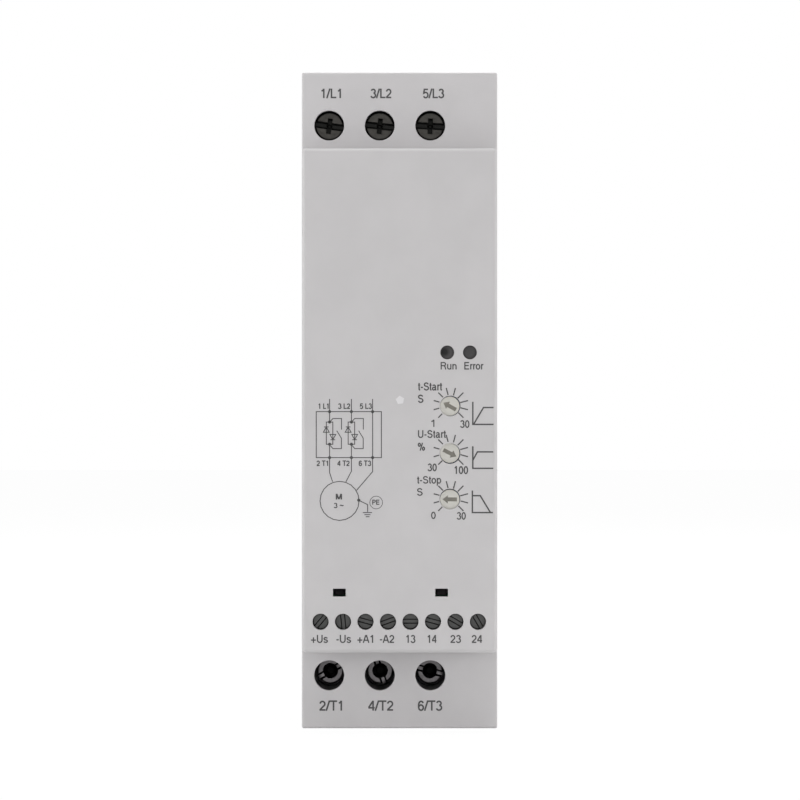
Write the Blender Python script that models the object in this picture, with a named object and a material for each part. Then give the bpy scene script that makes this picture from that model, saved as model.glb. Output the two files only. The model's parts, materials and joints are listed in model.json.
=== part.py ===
"""Soft starter for a three-phase motor, on a 35 mm mounting rail.

Metres, +Z up, front towards -Y. The origin is the middle of the face that rests on the
mounting rail, half way up the housing. Depths are measured forwards from that face.
"""

import math

import bmesh
import bpy

MM = 0.001
GAP = 0.3 * MM  # clearance between two pieces that lie against each other
OVERCUT = 1.0 * MM  # how far a cutter stands out of what it cuts
BITE = 0.5 * MM  # how far a rib or boss is rooted in the wall that carries it

# Housing
WIDTH = 45.0 * MM
HEIGHT = 151.0 * MM
SHOULDER_DEPTH = 95.5 * MM  # rail face to the terminal shoulders
PARTING_CLEARANCE = 1.9 * MM  # joint between the two housings, behind the carriers
FOOT_REACH = 6.5 * MM  # feet behind the rail face
FRONT_WALL = 1.8 * MM
REAR_WALL = 2.0 * MM
REAR_FLOOR = 2.5 * MM  # wall between the inside and the rail
FRONT_EDGE_RADIUS = 0.6 * MM
FOOT_CHAMFER = 1.0 * MM

# Front cover, the raised middle block
COVER_STAND = 16.0 * MM  # front face before the shoulders
COVER_STEP = 0.45 * MM  # each side inside the housing's side
SHOULDER_HEIGHT = 18.5 * MM  # housing's end to the cover's end
COVER_WALL = 1.5 * MM
COVER_EDGE_RADIUS = 1.0 * MM
SHOULDER_LAP = 1.3 * MM  # cover end wall over the shoulder plate

# Mounting rail: 35 mm wide, 1 mm sheet
RAIL_WIDTH = 35.0 * MM
RAIL_SHEET = 1.0 * MM
RAIL_PLAY = 0.2 * MM
SEAT_HALF = 15.0 * MM  # half of the height of the face on the rail
SEAT_RELIEF = 0.4 * MM  # step beside that face
HOOK_LAP = 2.2 * MM  # fixed hook behind the rail's upper edge
HOOK_THICKNESS = 1.9 * MM
LATCH_LAP = 2.0 * MM  # latch nose behind the rail's lower edge
LATCH_PLAY = 1.1 * MM  # room below the rail's lower edge for tilting the housing on

# Rail latch and its spring
LATCH_WIDTH = 13.8 * MM
LATCH_NECK = 10.0 * MM
LATCH_WING = 3.3 * MM  # thickness of its wide part
LATCH_DEPTH = 4.9 * MM
LATCH_END_ABOVE_BASE = 4.2 * MM
LATCH_WINDOW_WIDTH = 5.2 * MM
LATCH_WINDOW_START = 0.29222  # of the way from the rail notch to the latch's end
LATCH_WINDOW_SHARE = 0.34156  # of the same length
LATCH_EYE = (6.0 * MM, 3.5 * MM)  # slot for a screwdriver
PEG_HEIGHT = 2.0 * MM
PEG_WIDTH = 4.6 * MM
SPRING_WIRE = 0.5 * MM
SPRING_DIAMETER = 3.8 * MM  # middle of the wire
SPRING_TURNS = 7

# Main terminals
POLES = 3
POLE_PITCH_SHARE = 0.258667  # of the width
MIDDLE_POLE_SHARE = 0.101333  # of the width, left of the middle
TERMINAL_INSET = 12.2 * MM  # below the housing's end
SCREW_HOLE = 6.9 * MM
WELL_BORE = 7.1 * MM
WELL_WALL = 0.6 * MM
LINE_HEAD_SINK = 2.2 * MM  # screw head below the upper shoulder
LOAD_HEAD_SINK = 14.6 * MM  # and below the lower one
LINE_HEAD_DIAMETER = 6.7 * MM
LOAD_HEAD_DIAMETER = 6.2 * MM
HEAD_HEIGHT = 3.2 * MM
SHANK_DIAMETER = 4.0 * MM
RECESS_DIAMETER = 3.4 * MM
RECESS_DEPTH = 1.9 * MM
SLOT_WIDTH = 0.9 * MM
SLOT_DEPTH = 1.3 * MM
CAGE_TRAVEL = 5.5 * MM
CAGE_FRONT = 2.6 * MM
CAGE_SIDE = 1.0 * MM
CAGE_REAR = 1.2 * MM
CAGE_HEIGHT = 8.0 * MM
CAGE_PLAY = 0.92 * MM  # between a cage and the walls of its cell
BAR_THICKNESS = 1.5 * MM
BAR_OVERHANG = 1.3 * MM  # bar end past the cage
CARRIER_WALL = 1.5 * MM
CARRIER_PARTITION = 1.6 * MM
CARRIER_END_PLAY = 0.6 * MM  # between a cage and the carrier's inner wall
WIRE_WEB = 3.64 * MM  # wall between two wire entries
WIRE_FUNNEL = 0.7 * MM  # how much wider its mouth is on each side
WIRE_FUNNEL_DEPTH = 1.0 * MM

# Control terminals
CONTROLS = 8
CONTROL_ROW_ROOM = 0.46 * MM  # what the row of eight leaves of the cover's inside
CONTROL_ROW_X = -0.07 * MM
CONTROL_ROW_RISE = 7.0 * MM  # above the cover's lower end
CONTROL_WEB = 0.88 * MM  # wall between two cells
CONTROL_WELL_WEB = 0.78 * MM  # wall between two screw wells
CONTROL_WIRE_WEB = 1.68 * MM  # wall between two wire entries
CONTROL_HOLE_LIP = 0.1 * MM  # cover over the edge of a screw head
CONTROL_HEAD_SINK = 2.2 * MM
CONTROL_HEAD_HEIGHT = 1.5 * MM
CONTROL_THREAD_ROOM = 1.2 * MM  # cage wider than the screw's shank
CONTROL_SLOT_WIDTH = 0.6 * MM
CONTROL_SLOT_DEPTH = 0.8 * MM
CONTROL_WELL_PLAY = 0.25 * MM
CONTROL_LEDGE = 1.0 * MM
CONTROL_TRAVEL = 2.7 * MM
CONTROL_CAGE_FRONT = 1.5 * MM
CONTROL_CAGE_SIDE = 0.4 * MM
CONTROL_CAGE_REAR = 1.0 * MM
CONTROL_CAGE_HEIGHT = 6.5 * MM
CONTROL_CONTACT = 0.8 * MM
CONTROL_FLOOR = 0.9 * MM
CONTROL_BLOCK_HEIGHT = 10.0 * MM
CONTROL_CELL_END = 0.35 * MM  # cell past the cage, up and down

# Boards
BOARD_THICKNESS = 1.6 * MM
BOARD_RAIL = 1.8 * MM  # how far the rails under the control board stand out
BOARD_RAIL_THICKNESS = 1.5 * MM
CHIP_SIZE = 7.0 * MM
CHIP_HEIGHT = 1.2 * MM
CHIPS = 3

# Setting dials, from the top: name, height, start angle in degrees from 3 o'clock
DIAL_INSET = 10.7 * MM  # from the cover's right side
DIALS = (
    ("run_up_time", -1.30 * MM, 153.0),
    ("start_voltage", -11.90 * MM, -29.0),
    ("run_down_time", -22.35 * MM, 180.0),
)
DIAL_HOLE = 4.6 * MM
DIAL_DIAMETER = 4.2 * MM
DIAL_SINK = 0.6 * MM
DIAL_THICKNESS = 2.2 * MM
DIAL_STEM = 2.0 * MM
DIAL_STEM_LENGTH = 3.0 * MM
DIAL_BODY = 8.0 * MM
ARROW_LENGTH = 3.2 * MM
ARROW_SHAFT = 0.65 * MM
ARROW_HEAD = 1.6 * MM
ARROW_DEPTH = 0.5 * MM

# Indicators: name, distance from the cover's right side
INDICATORS = (("run", 11.28 * MM), ("error", 6.15 * MM))
INDICATOR_Z = 10.85 * MM
INDICATOR_HOLE = 3.1 * MM
GUIDE_DIAMETER = 2.5 * MM
GUIDE_FOOT = 4.0 * MM
GUIDE_FOOT_HEIGHT = 1.7 * MM
GUIDE_SINK = 0.3 * MM

# Windows over the hooks that hold the cover
HOOK_WINDOW = (2.9 * MM, 1.8 * MM)
HOOK_WINDOW_INSETS = (8.45 * MM, 12.55 * MM)  # from the cover's left and right sides
HOOK_WINDOW_RISE = 6.6 * MM  # above the row of control screws
HOOK_SINK = 2.8 * MM
HOOK_BAR = 4.0 * MM

# Snaps between the two housings
SNAP_INSET = 17.0 * MM  # from the cover's ends
SNAP_WIDTH = 7.0 * MM
SNAP_THICKNESS = 1.3 * MM
SNAP_REACH = 7.5 * MM  # past the joint between the housings
SNAP_NOSE_HEIGHT = 2.5 * MM
SNAP_ROOT = 4.4 * MM

# Heat sink and power parts
SINK_CLEARANCE = 6.9 * MM  # behind the terminal carriers
SINK_BASE = 5.0 * MM
SINK_FIN_END_DEPTH = 8.0 * MM
SINK_END_ROOM = 13.5 * MM  # at each end of the housing
FINS = 9
FIN_SIDE_ROOM = 1.5 * MM  # from the ledge to the middle of the outer fin
FIN_THICKNESS = 1.4 * MM
SINK_LEDGE = 2.2 * MM
VENT_WIDTH = 2.4 * MM
VENT_START = 2.0 * MM  # behind the heat sink's base
VENT_END_DEPTH = 10.0 * MM
MODULE_PLAY = 0.64 * MM  # module narrower than the pitch of the poles
MODULE_HEIGHT = 44.0 * MM
MODULE_THICKNESS = 11.7 * MM
MODULE_OFFSETS = (1.6 * MM, 1.26 * MM)  # module's middle right of its pole
LUG = 1.0 * MM
LUG_Z = 17.0 * MM
LUG_SIZE = (5.0 * MM, 7.0 * MM)
BAR_JOG_Z = 28.0 * MM
BAR_JOG = 4.0 * MM
POWER_BOARD_HEIGHT = 25.0 * MM
RELAY_SIDE_ROOM = 0.78 * MM  # from the left relay to the housing
RELAY_HEIGHT = 24.0 * MM
RELAY_DEPTH = 20.0 * MM
RELAY_EDGE = 0.8 * MM
TRANSFORMER_SIDE_ROOM = 0.82 * MM  # from the transformer to the housing
TRANSFORMER_DEPTH = 20.0 * MM
TRANSFORMER_TOP = 4.0 * MM
TRANSFORMER_CORE = 2.4 * MM
CONNECTOR_SIDE_ROOM = 0.42 * MM  # from the connector to the board's rail
CONNECTOR_HEIGHT = 4.5 * MM
CONNECTOR_Z = 8.7 * MM
CAPACITOR_DIAMETER = 10.0 * MM
CAPACITOR_LENGTH = 16.0 * MM
CAPACITOR_SIDE_ROOM = 8.7 * MM  # from its middle to the housing's side
CAPACITOR_END_ROOM = 25.5 * MM  # from its middle to the cover's upper wall

# Facets round a turned piece or a round hole
FINE_STEPS = 32
MEDIUM_STEPS = 20
COARSE_STEPS = 12

# Places that follow from the sizes, front to back
HALF_WIDTH = WIDTH / 2
HALF_HEIGHT = HEIGHT / 2
SHOULDER_Y = -SHOULDER_DEPTH
COVER_Y = SHOULDER_Y - COVER_STAND
FRONT_INNER_X = HALF_WIDTH - FRONT_WALL
REAR_INNER_X = HALF_WIDTH - REAR_WALL
COVER_HALF_WIDTH = HALF_WIDTH - COVER_STEP
COVER_HALF_HEIGHT = HALF_HEIGHT - SHOULDER_HEIGHT
COVER_INNER_X = COVER_HALF_WIDTH - COVER_WALL
COVER_INNER_Z = COVER_HALF_HEIGHT - COVER_WALL
COVER_INNER_Y = COVER_Y + COVER_WALL
COVER_RIM_Y = SHOULDER_Y - GAP

POLE_PITCH = POLE_PITCH_SHARE * WIDTH
MIDDLE_POLE_X = -MIDDLE_POLE_SHARE * WIDTH
TERMINAL_Z = HALF_HEIGHT - TERMINAL_INSET
CAGE_WIDTH = POLE_PITCH - CARRIER_PARTITION - 2 * CAGE_PLAY
CAGE_INNER = CAGE_WIDTH - 2 * CAGE_SIDE
BAR_WIDTH = CAGE_INNER - 2 * GAP
WIRE_WINDOW = POLE_PITCH - WIRE_WEB
CARRIER_INNER_Z = TERMINAL_Z - CAGE_HEIGHT / 2 - CARRIER_END_PLAY - CARRIER_WALL
MODULE_WIDTH = POLE_PITCH - MODULE_PLAY

LINE_HEAD_REAR_Y = SHOULDER_Y + LINE_HEAD_SINK + HEAD_HEIGHT
LOAD_HEAD_REAR_Y = SHOULDER_Y + LOAD_HEAD_SINK + HEAD_HEIGHT
CAGE_Y = LOAD_HEAD_REAR_Y + GAP + CARRIER_WALL + GAP + CAGE_TRAVEL
BAR_Y = CAGE_Y + CAGE_FRONT + GAP
BAR_REAR_Y = BAR_Y + BAR_THICKNESS
CAGE_SEAT_Y = BAR_REAR_Y + GAP + CAGE_TRAVEL
CAGE_REAR_Y = CAGE_SEAT_Y + CAGE_REAR
CARRIER_FLOOR_Y = CAGE_REAR_Y + GAP
CARRIER_REAR_Y = CARRIER_FLOOR_Y + CARRIER_WALL
PARTING_Y = CARRIER_REAR_Y + PARTING_CLEARANCE
BAR_END_Z = TERMINAL_Z + CAGE_HEIGHT / 2 + BAR_OVERHANG

CONTROL_PITCH = (2 * COVER_INNER_X - CONTROL_ROW_ROOM) / CONTROLS
CONTROL_ROW_Z = -COVER_HALF_HEIGHT + CONTROL_ROW_RISE
CONTROL_CAGE_WIDTH = CONTROL_PITCH - CONTROL_WEB - 2 * GAP
CONTROL_SHANK_DIAMETER = CONTROL_CAGE_WIDTH - CONTROL_THREAD_ROOM
CONTROL_HEAD_DIAMETER = CONTROL_PITCH - CONTROL_WELL_WEB - 2 * CONTROL_WELL_PLAY
CONTROL_HOLE = CONTROL_HEAD_DIAMETER - 2 * CONTROL_HOLE_LIP
CONTROL_WIRE_HOLE = CONTROL_PITCH - CONTROL_WIRE_WEB
HOOK_WINDOW_Z = CONTROL_ROW_Z + HOOK_WINDOW_RISE
DIAL_X = COVER_HALF_WIDTH - DIAL_INSET
SNAP_Z = COVER_HALF_HEIGHT - SNAP_INSET

CONTROL_HEAD_Y = COVER_Y + CONTROL_HEAD_SINK
CONTROL_HEAD_REAR_Y = CONTROL_HEAD_Y + CONTROL_HEAD_HEIGHT
CONTROL_LEDGE_Y = CONTROL_HEAD_REAR_Y + GAP
CONTROL_CELL_Y = CONTROL_LEDGE_Y + CONTROL_LEDGE
CONTROL_CAGE_Y = CONTROL_CELL_Y + GAP + CONTROL_TRAVEL
CONTROL_CONTACT_Y = CONTROL_CAGE_Y + CONTROL_CAGE_FRONT + GAP
CONTROL_CONTACT_REAR_Y = CONTROL_CONTACT_Y + CONTROL_CONTACT
CONTROL_CAGE_SEAT_Y = CONTROL_CONTACT_REAR_Y + GAP + CONTROL_TRAVEL
CONTROL_CAGE_REAR_Y = CONTROL_CAGE_SEAT_Y + CONTROL_CAGE_REAR
CONTROL_CELL_REAR_Y = CONTROL_CAGE_REAR_Y + GAP
CONTROL_BLOCK_REAR_Y = CONTROL_CELL_REAR_Y + CONTROL_FLOOR
BOARD_Y = CONTROL_BLOCK_REAR_Y + GAP
BOARD_REAR_Y = BOARD_Y + BOARD_THICKNESS
BOARD_RAIL_Y = BOARD_REAR_Y + GAP

SINK_HEIGHT = HEIGHT - 2 * SINK_END_ROOM
FIN_PITCH = 2 * (REAR_INNER_X - SINK_LEDGE - FIN_SIDE_ROOM) / (FINS - 1)
SINK_Y = CARRIER_REAR_Y + SINK_CLEARANCE
SINK_FIN_Y = SINK_Y + SINK_BASE
MODULE_REAR_Y = SINK_Y - GAP
MODULE_Y = MODULE_REAR_Y - MODULE_THICKNESS
LUG_Y = MODULE_Y - LUG
POWER_BOARD_REAR_Y = MODULE_Y - GAP
POWER_BOARD_Y = POWER_BOARD_REAR_Y - BOARD_THICKNESS
ON_POWER_BOARD_Y = POWER_BOARD_Y - GAP

RAIL_LOWER_Z = -RAIL_WIDTH / 2
RAIL_UPPER_Z = RAIL_WIDTH / 2
NOTCH_TOP_Z = RAIL_UPPER_Z + RAIL_PLAY
NOTCH_BOTTOM_Z = RAIL_LOWER_Z - LATCH_PLAY
BEHIND_RAIL_Y = RAIL_SHEET + GAP
CHANNEL_FLOOR_Y = BEHIND_RAIL_Y - GAP
LATCH_NOSE_Z = RAIL_LOWER_Z + LATCH_LAP
LATCH_END_Z = -HALF_HEIGHT + LATCH_END_ABOVE_BASE
LATCH_STEP_Y = BEHIND_RAIL_Y + LATCH_WING
LATCH_REAR_Y = BEHIND_RAIL_Y + LATCH_DEPTH
LATCH_RUN = NOTCH_BOTTOM_Z - LATCH_END_Z
WINDOW_TOP_Z = NOTCH_BOTTOM_Z - LATCH_WINDOW_START * LATCH_RUN
WINDOW_BOTTOM_Z = WINDOW_TOP_Z - LATCH_WINDOW_SHARE * LATCH_RUN
PEG_BOTTOM_Z = WINDOW_BOTTOM_Z + GAP
PEG_TOP_Z = PEG_BOTTOM_Z + PEG_HEIGHT


# Rows of main terminals: name, side, rear of the screw heads, their diameter
ROWS = (
    ("line", 1, LINE_HEAD_REAR_Y, LINE_HEAD_DIAMETER),
    ("load", -1, LOAD_HEAD_REAR_Y, LOAD_HEAD_DIAMETER),
)


def pole_xs():
    return [MIDDLE_POLE_X + (i - (POLES - 1) / 2) * POLE_PITCH for i in range(POLES)]


def control_xs():
    return [CONTROL_ROW_X + (i - (CONTROLS - 1) / 2) * CONTROL_PITCH for i in range(CONTROLS)]


def hook_xs():
    left, right = HOOK_WINDOW_INSETS
    return (left - COVER_HALF_WIDTH, COVER_HALF_WIDTH - right)


def right_of_bar():
    """Where the pieces right of the through bar start."""
    return pole_xs()[-1] + BAR_WIDTH / 2 + 2 * GAP


def clear_scene():
    for obj in list(bpy.data.objects):
        bpy.data.objects.remove(obj, do_unlink=True)


def make_material(name, colour, roughness, metallic=0.0):
    material = bpy.data.materials.new(name)
    material.use_nodes = True
    shader = material.node_tree.nodes["Principled BSDF"]
    shader.inputs["Base Color"].default_value = (*colour, 1.0)
    shader.inputs["Roughness"].default_value = roughness
    shader.inputs["Metallic"].default_value = metallic
    return material


def add_object(name, body, material, location=(0.0, 0.0, 0.0), turn=0.0, smooth=False):
    """An object from a bmesh, turned about the Y axis, with its normals outwards."""
    bmesh.ops.recalc_face_normals(body, faces=body.faces)
    mesh = bpy.data.meshes.new(name)
    body.to_mesh(mesh)
    body.free()
    mesh.materials.append(material)
    if smooth:
        mesh.shade_smooth()
        mesh.set_sharp_from_angle(angle=math.radians(30))
    return place_mesh(name, mesh, location, turn)


def place_mesh(name, mesh, location, turn=0.0):
    obj = bpy.data.objects.new(name, mesh)
    obj.location = location
    obj.rotation_euler.y = turn
    bpy.context.scene.collection.objects.link(obj)
    return obj


def combine(target, body, operation):
    """Cuts a bmesh from an object, or joins it on, with the helper kept out of renders."""
    helper = add_object(f"{target.name}_{operation.lower()}", body, target.data.materials[0])
    helper.matrix_world = target.matrix_world.copy()
    helper.location = target.location
    helper.rotation_euler = target.rotation_euler
    helper.hide_render = True
    helper.display_type = "WIRE"
    modifier = target.modifiers.new(helper.name, "BOOLEAN")
    modifier.operation = operation
    modifier.solver = "EXACT"
    modifier.object = helper


def cut(target, body):
    combine(target, body, "DIFFERENCE")


def fuse(target, body):
    combine(target, body, "UNION")


def finished_mesh(obj):
    """The object's mesh with its modifiers applied, for copies to share."""
    helpers = [modifier.object for modifier in obj.modifiers]
    graph = bpy.context.evaluated_depsgraph_get()
    mesh = bpy.data.meshes.new_from_object(obj.evaluated_get(graph))
    for used in [obj, *helpers]:
        bpy.data.objects.remove(used, do_unlink=True)
    return mesh


def add_block(body, xs, ys, zs):
    """A block between the two ends given along each axis."""
    for vert in bmesh.ops.create_cube(body, size=1.0)["verts"]:
        for axis, ends in enumerate((xs, ys, zs)):
            vert.co[axis] = max(ends) if vert.co[axis] > 0 else min(ends)


def block(xs, ys, zs):
    body = bmesh.new()
    add_block(body, xs, ys, zs)
    return body


def add_prism(body, outline, axis, ends):
    """An outline drawn across one axis and extruded between two ends along it."""
    places = {
        "X": lambda u, v, w: (w, u, v),
        "Y": lambda u, v, w: (u, w, v),
        "Z": lambda u, v, w: (u, v, w),
    }
    start = min(ends)
    verts = [body.verts.new(places[axis](u, v, start)) for u, v in outline]
    face = body.faces.new(verts)
    made = bmesh.ops.extrude_face_region(body, geom=[face])["geom"]
    moved = [item for item in made if isinstance(item, bmesh.types.BMVert)]
    bmesh.ops.translate(body, vec=places[axis](0.0, 0.0, max(ends) - start), verts=moved)


def prism(outline, axis, ends):
    body = bmesh.new()
    add_prism(body, outline, axis, ends)
    return body


def add_turned(body, profile, x=0.0, z=0.0, steps=FINE_STEPS):
    """A profile of (radius, y) points that starts and ends on the axis, spun about Y."""
    verts = [body.verts.new((x + radius, y, z)) for radius, y in profile]
    edges = [body.edges.new(pair) for pair in zip(verts, verts[1:])]
    bmesh.ops.spin(
        body,
        geom=verts + edges,
        cent=(x, 0.0, z),
        axis=(0.0, 1.0, 0.0),
        angle=math.tau,
        steps=steps,
        use_merge=True,
    )
    bmesh.ops.remove_doubles(body, verts=body.verts, dist=1e-7)
    flat = [vert for vert in body.verts if is_flat_centre(vert, x, z)]
    bmesh.ops.dissolve_verts(body, verts=flat)


def is_flat_centre(vert, x, z):
    """Whether a vertex is the middle of a flat end, whose fan of faces can become one face."""
    on_axis = math.hypot(vert.co.x - x, vert.co.z - z) < 1e-7
    return on_axis and all(
        abs(edge.other_vert(vert).co.y - vert.co.y) < 1e-7 for edge in vert.link_edges
    )


def turned(profile, steps=FINE_STEPS):
    body = bmesh.new()
    add_turned(body, profile, steps=steps)
    return body


def rod_profile(diameter, start, end):
    return [(0.0, start), (diameter / 2, start), (diameter / 2, end), (0.0, end)]


def rods(diameter, ys, places, steps=FINE_STEPS):
    """Round rods along Y at each (x, z) place."""
    body = bmesh.new()
    for x, z in places:
        add_turned(body, rod_profile(diameter, min(ys), max(ys)), x, z, steps)
    return body


def add_funnel(body, middle, mouth, throat, zs):
    """A rectangular hole along Z that widens to its mouth: each ring is (half x, half y, z)."""
    x, y = middle
    corners = ((-1, -1), (1, -1), (1, 1), (-1, 1))
    outside, surface, neck, inside = zs
    levels = ((mouth, outside), (mouth, surface), (throat, neck), (throat, inside))
    rings = [
        [body.verts.new((x + i * half[0], y + j * half[1], z)) for i, j in corners]
        for half, z in levels
    ]
    for ring, following in zip(rings, rings[1:]):
        for k in range(4):
            side = (ring[k], ring[(k + 1) % 4], following[(k + 1) % 4], following[k])
            body.faces.new(side)
    body.faces.new(rings[0])
    body.faces.new(rings[-1])


def round_front(body, radius, front_y):
    """Rounds the edges of the front face and the four edges that run back from it."""
    edges = [
        edge
        for edge in body.edges
        if any(abs(vert.co.y - front_y) < 1e-6 for vert in edge.verts)
    ]
    bmesh.ops.bevel(body, geom=edges, offset=radius, segments=3, profile=0.5, affect="EDGES")


def span(middle, size):
    return (middle - size / 2, middle + size / 2)


def build_front_housing(plastic):
    """Front shell: closed at the two terminal shoulders, open under the cover."""
    body = block(span(0, WIDTH), (SHOULDER_Y, PARTING_Y), span(0, HEIGHT))
    round_front(body, FRONT_EDGE_RADIUS, SHOULDER_Y)
    housing = add_object("front_housing", body, plastic)
    inner_z = HALF_HEIGHT - FRONT_WALL
    inner_y = SHOULDER_Y + FRONT_WALL
    cavity_ys = (inner_y, PARTING_Y + OVERCUT)
    cut(housing, block(span(0, 2 * FRONT_INNER_X), cavity_ys, span(0, 2 * inner_z)))
    opening_z = COVER_HALF_HEIGHT - SHOULDER_LAP
    opening_ys = (SHOULDER_Y - OVERCUT, inner_y + BITE)
    cut(housing, block(span(0, 2 * FRONT_INNER_X), opening_ys, span(0, 2 * opening_z)))
    places = [(x, z) for x in pole_xs() for z in (TERMINAL_Z, -TERMINAL_Z)]
    cut(housing, rods(SCREW_HOLE, (SHOULDER_Y - OVERCUT, inner_y + OVERCUT), places))
    cut(housing, wire_windows())
    cut(housing, snap_windows())
    fuse(housing, board_rails(opening_z))
    fuse(housing, hook_bar())
    fuse(housing, cover_hooks())
    return housing


def wire_windows():
    """The six wire entries in the end walls, wider at the mouth."""
    body = bmesh.new()
    wire_y = (BAR_REAR_Y + CAGE_SEAT_Y) / 2
    half_x = WIRE_WINDOW / 2
    half_y = CARRIER_FLOOR_Y - wire_y
    throat = (half_x, half_y)
    mouth = (half_x + WIRE_FUNNEL, half_y + WIRE_FUNNEL)
    for x in pole_xs():
        for side in (1, -1):
            outside = side * (HALF_HEIGHT + OVERCUT)
            surface = side * HALF_HEIGHT
            neck = side * (HALF_HEIGHT - WIRE_FUNNEL_DEPTH)
            inside = side * (HALF_HEIGHT - FRONT_WALL - OVERCUT)
            add_funnel(body, (x, wire_y), mouth, throat, (outside, surface, neck, inside))
    return body


def snap_nose_ys():
    """Front and rear of the snap noses, forwards of the joint between the housings."""
    front = PARTING_Y - SNAP_REACH + GAP
    return (front, front + SNAP_NOSE_HEIGHT)


def snap_windows():
    body = bmesh.new()
    front, rear = snap_nose_ys()
    for side in (1, -1):
        for z in (-SNAP_Z, SNAP_Z):
            xs = (side * (FRONT_INNER_X - OVERCUT), side * (HALF_WIDTH + OVERCUT))
            add_block(body, xs, (front - GAP, rear + GAP), span(z, SNAP_WIDTH + 2 * GAP))
    return body


def board_rails(opening_z):
    """Two rails along the side walls that the control board lies on."""
    body = bmesh.new()
    for side in (1, -1):
        xs = (side * (FRONT_INNER_X - BOARD_RAIL), side * (FRONT_INNER_X + BITE))
        ys = (BOARD_RAIL_Y, BOARD_RAIL_Y + BOARD_RAIL_THICKNESS)
        add_block(body, xs, ys, span(0, 2 * (opening_z - SHOULDER_LAP)))
    return body


def hook_bar():
    """A bar across the opening that carries the cover's hooks."""
    ys = (BOARD_RAIL_Y, BOARD_RAIL_Y + BOARD_RAIL_THICKNESS)
    return block(span(0, 2 * (FRONT_INNER_X + BITE)), ys, span(HOOK_WINDOW_Z, HOOK_BAR))


def cover_hooks():
    """A post with a sloping nose under each window of the cover."""
    body = bmesh.new()
    width, height = (size - 2 * GAP for size in HOOK_WINDOW)
    front = COVER_Y + HOOK_SINK
    bottom, top = span(HOOK_WINDOW_Z, height)
    outline = [
        (BOARD_RAIL_Y + BITE, bottom),
        (front, bottom),
        (front, HOOK_WINDOW_Z),
        (front + height, top),
        (BOARD_RAIL_Y + BITE, top),
    ]
    for x in hook_xs():
        add_prism(body, outline, "X", span(x, width))
    return body


def build_front_cover(plastic):
    """Raised middle block: a rounded box, open behind, with all the front holes."""
    xs = span(0, 2 * COVER_HALF_WIDTH)
    body = block(xs, (COVER_Y, COVER_RIM_Y), span(0, 2 * COVER_HALF_HEIGHT))
    round_front(body, COVER_EDGE_RADIUS, COVER_Y)
    cover = add_object("front_cover", body, plastic)
    inner_ys = (COVER_INNER_Y, COVER_RIM_Y + OVERCUT)
    cut(cover, block(span(0, 2 * COVER_INNER_X), inner_ys, span(0, 2 * COVER_INNER_Z)))
    through = (COVER_Y - OVERCUT, COVER_INNER_Y + OVERCUT)
    places = [(x, CONTROL_ROW_Z) for x in control_xs()]
    holes = rods(CONTROL_HOLE, through, places, MEDIUM_STEPS)
    for _, z, _ in DIALS:
        add_turned(holes, rod_profile(DIAL_HOLE, *through), DIAL_X, z)
    for _, inset in INDICATORS:
        profile = rod_profile(INDICATOR_HOLE, *through)
        add_turned(holes, profile, COVER_HALF_WIDTH - inset, INDICATOR_Z, MEDIUM_STEPS)
    for x in hook_xs():
        add_block(holes, span(x, HOOK_WINDOW[0]), through, span(HOOK_WINDOW_Z, HOOK_WINDOW[1]))
    cut(cover, holes)
    cut(cover, control_wire_holes())
    return cover


def control_wire_holes():
    """The eight control wire entries in the cover's lower wall."""
    body = bmesh.new()
    wire_y = (CONTROL_CONTACT_REAR_Y + CONTROL_CAGE_SEAT_Y) / 2
    zs = (-COVER_HALF_HEIGHT - OVERCUT, -COVER_INNER_Z + OVERCUT)
    for x in control_xs():
        add_block(body, span(x, CONTROL_WIRE_HOLE), span(wire_y, CONTROL_WIRE_HOLE), zs)
    return body


def build_rear_housing(plastic):
    """Rear shell with the rail notch, the fixed hook, the latch channel and the vents."""
    hook_rear_y = BEHIND_RAIL_Y + HOOK_THICKNESS
    hook_z = RAIL_UPPER_Z - HOOK_LAP
    outline = [
        (PARTING_Y + GAP, -HALF_HEIGHT),
        (FOOT_REACH - FOOT_CHAMFER, -HALF_HEIGHT),
        (FOOT_REACH, -HALF_HEIGHT + FOOT_CHAMFER),
        (FOOT_REACH, NOTCH_BOTTOM_Z),
        (-SEAT_RELIEF, NOTCH_BOTTOM_Z),
        (-SEAT_RELIEF, -SEAT_HALF),
        (0.0, -SEAT_HALF),
        (0.0, SEAT_HALF),
        (-SEAT_RELIEF, SEAT_HALF),
        (-SEAT_RELIEF, NOTCH_TOP_Z),
        (BEHIND_RAIL_Y, NOTCH_TOP_Z),
        (BEHIND_RAIL_Y, hook_z),
        (hook_rear_y, hook_z),
        (FOOT_REACH, hook_z + HOOK_LAP + HOOK_THICKNESS),
        (FOOT_REACH, HALF_HEIGHT - FOOT_CHAMFER),
        (FOOT_REACH - FOOT_CHAMFER, HALF_HEIGHT),
        (PARTING_Y + GAP, HALF_HEIGHT),
    ]
    housing = add_object("rear_housing", prism(outline, "X", span(0, WIDTH)), plastic)
    cut(housing, rear_cavity())
    cut(housing, foot_pockets())
    cut(housing, latch_channel())
    cut(housing, vents())
    fuse(housing, spring_peg())
    fuse(housing, sink_ledges())
    fuse(housing, snap_tongues())
    return housing


def rear_cavity():
    """The inside, which follows the feet and the rail notch at an even wall."""
    end_z = HALF_HEIGHT - REAR_WALL
    seat_y = -SEAT_RELIEF - REAR_FLOOR
    channel_y = CHANNEL_FLOOR_Y - REAR_FLOOR
    foot_y = FOOT_REACH - REAR_FLOOR
    upper_z = RAIL_UPPER_Z + HOOK_THICKNESS + REAR_FLOOR
    outline = [
        (PARTING_Y - OVERCUT, -end_z),
        (channel_y, -end_z),
        (channel_y, NOTCH_BOTTOM_Z - REAR_FLOOR),
        (seat_y, NOTCH_BOTTOM_Z - REAR_FLOOR),
        (seat_y, upper_z),
        (foot_y, upper_z),
        (foot_y, end_z),
        (PARTING_Y - OVERCUT, end_z),
    ]
    return prism(outline, "X", span(0, 2 * REAR_INNER_X))


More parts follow.
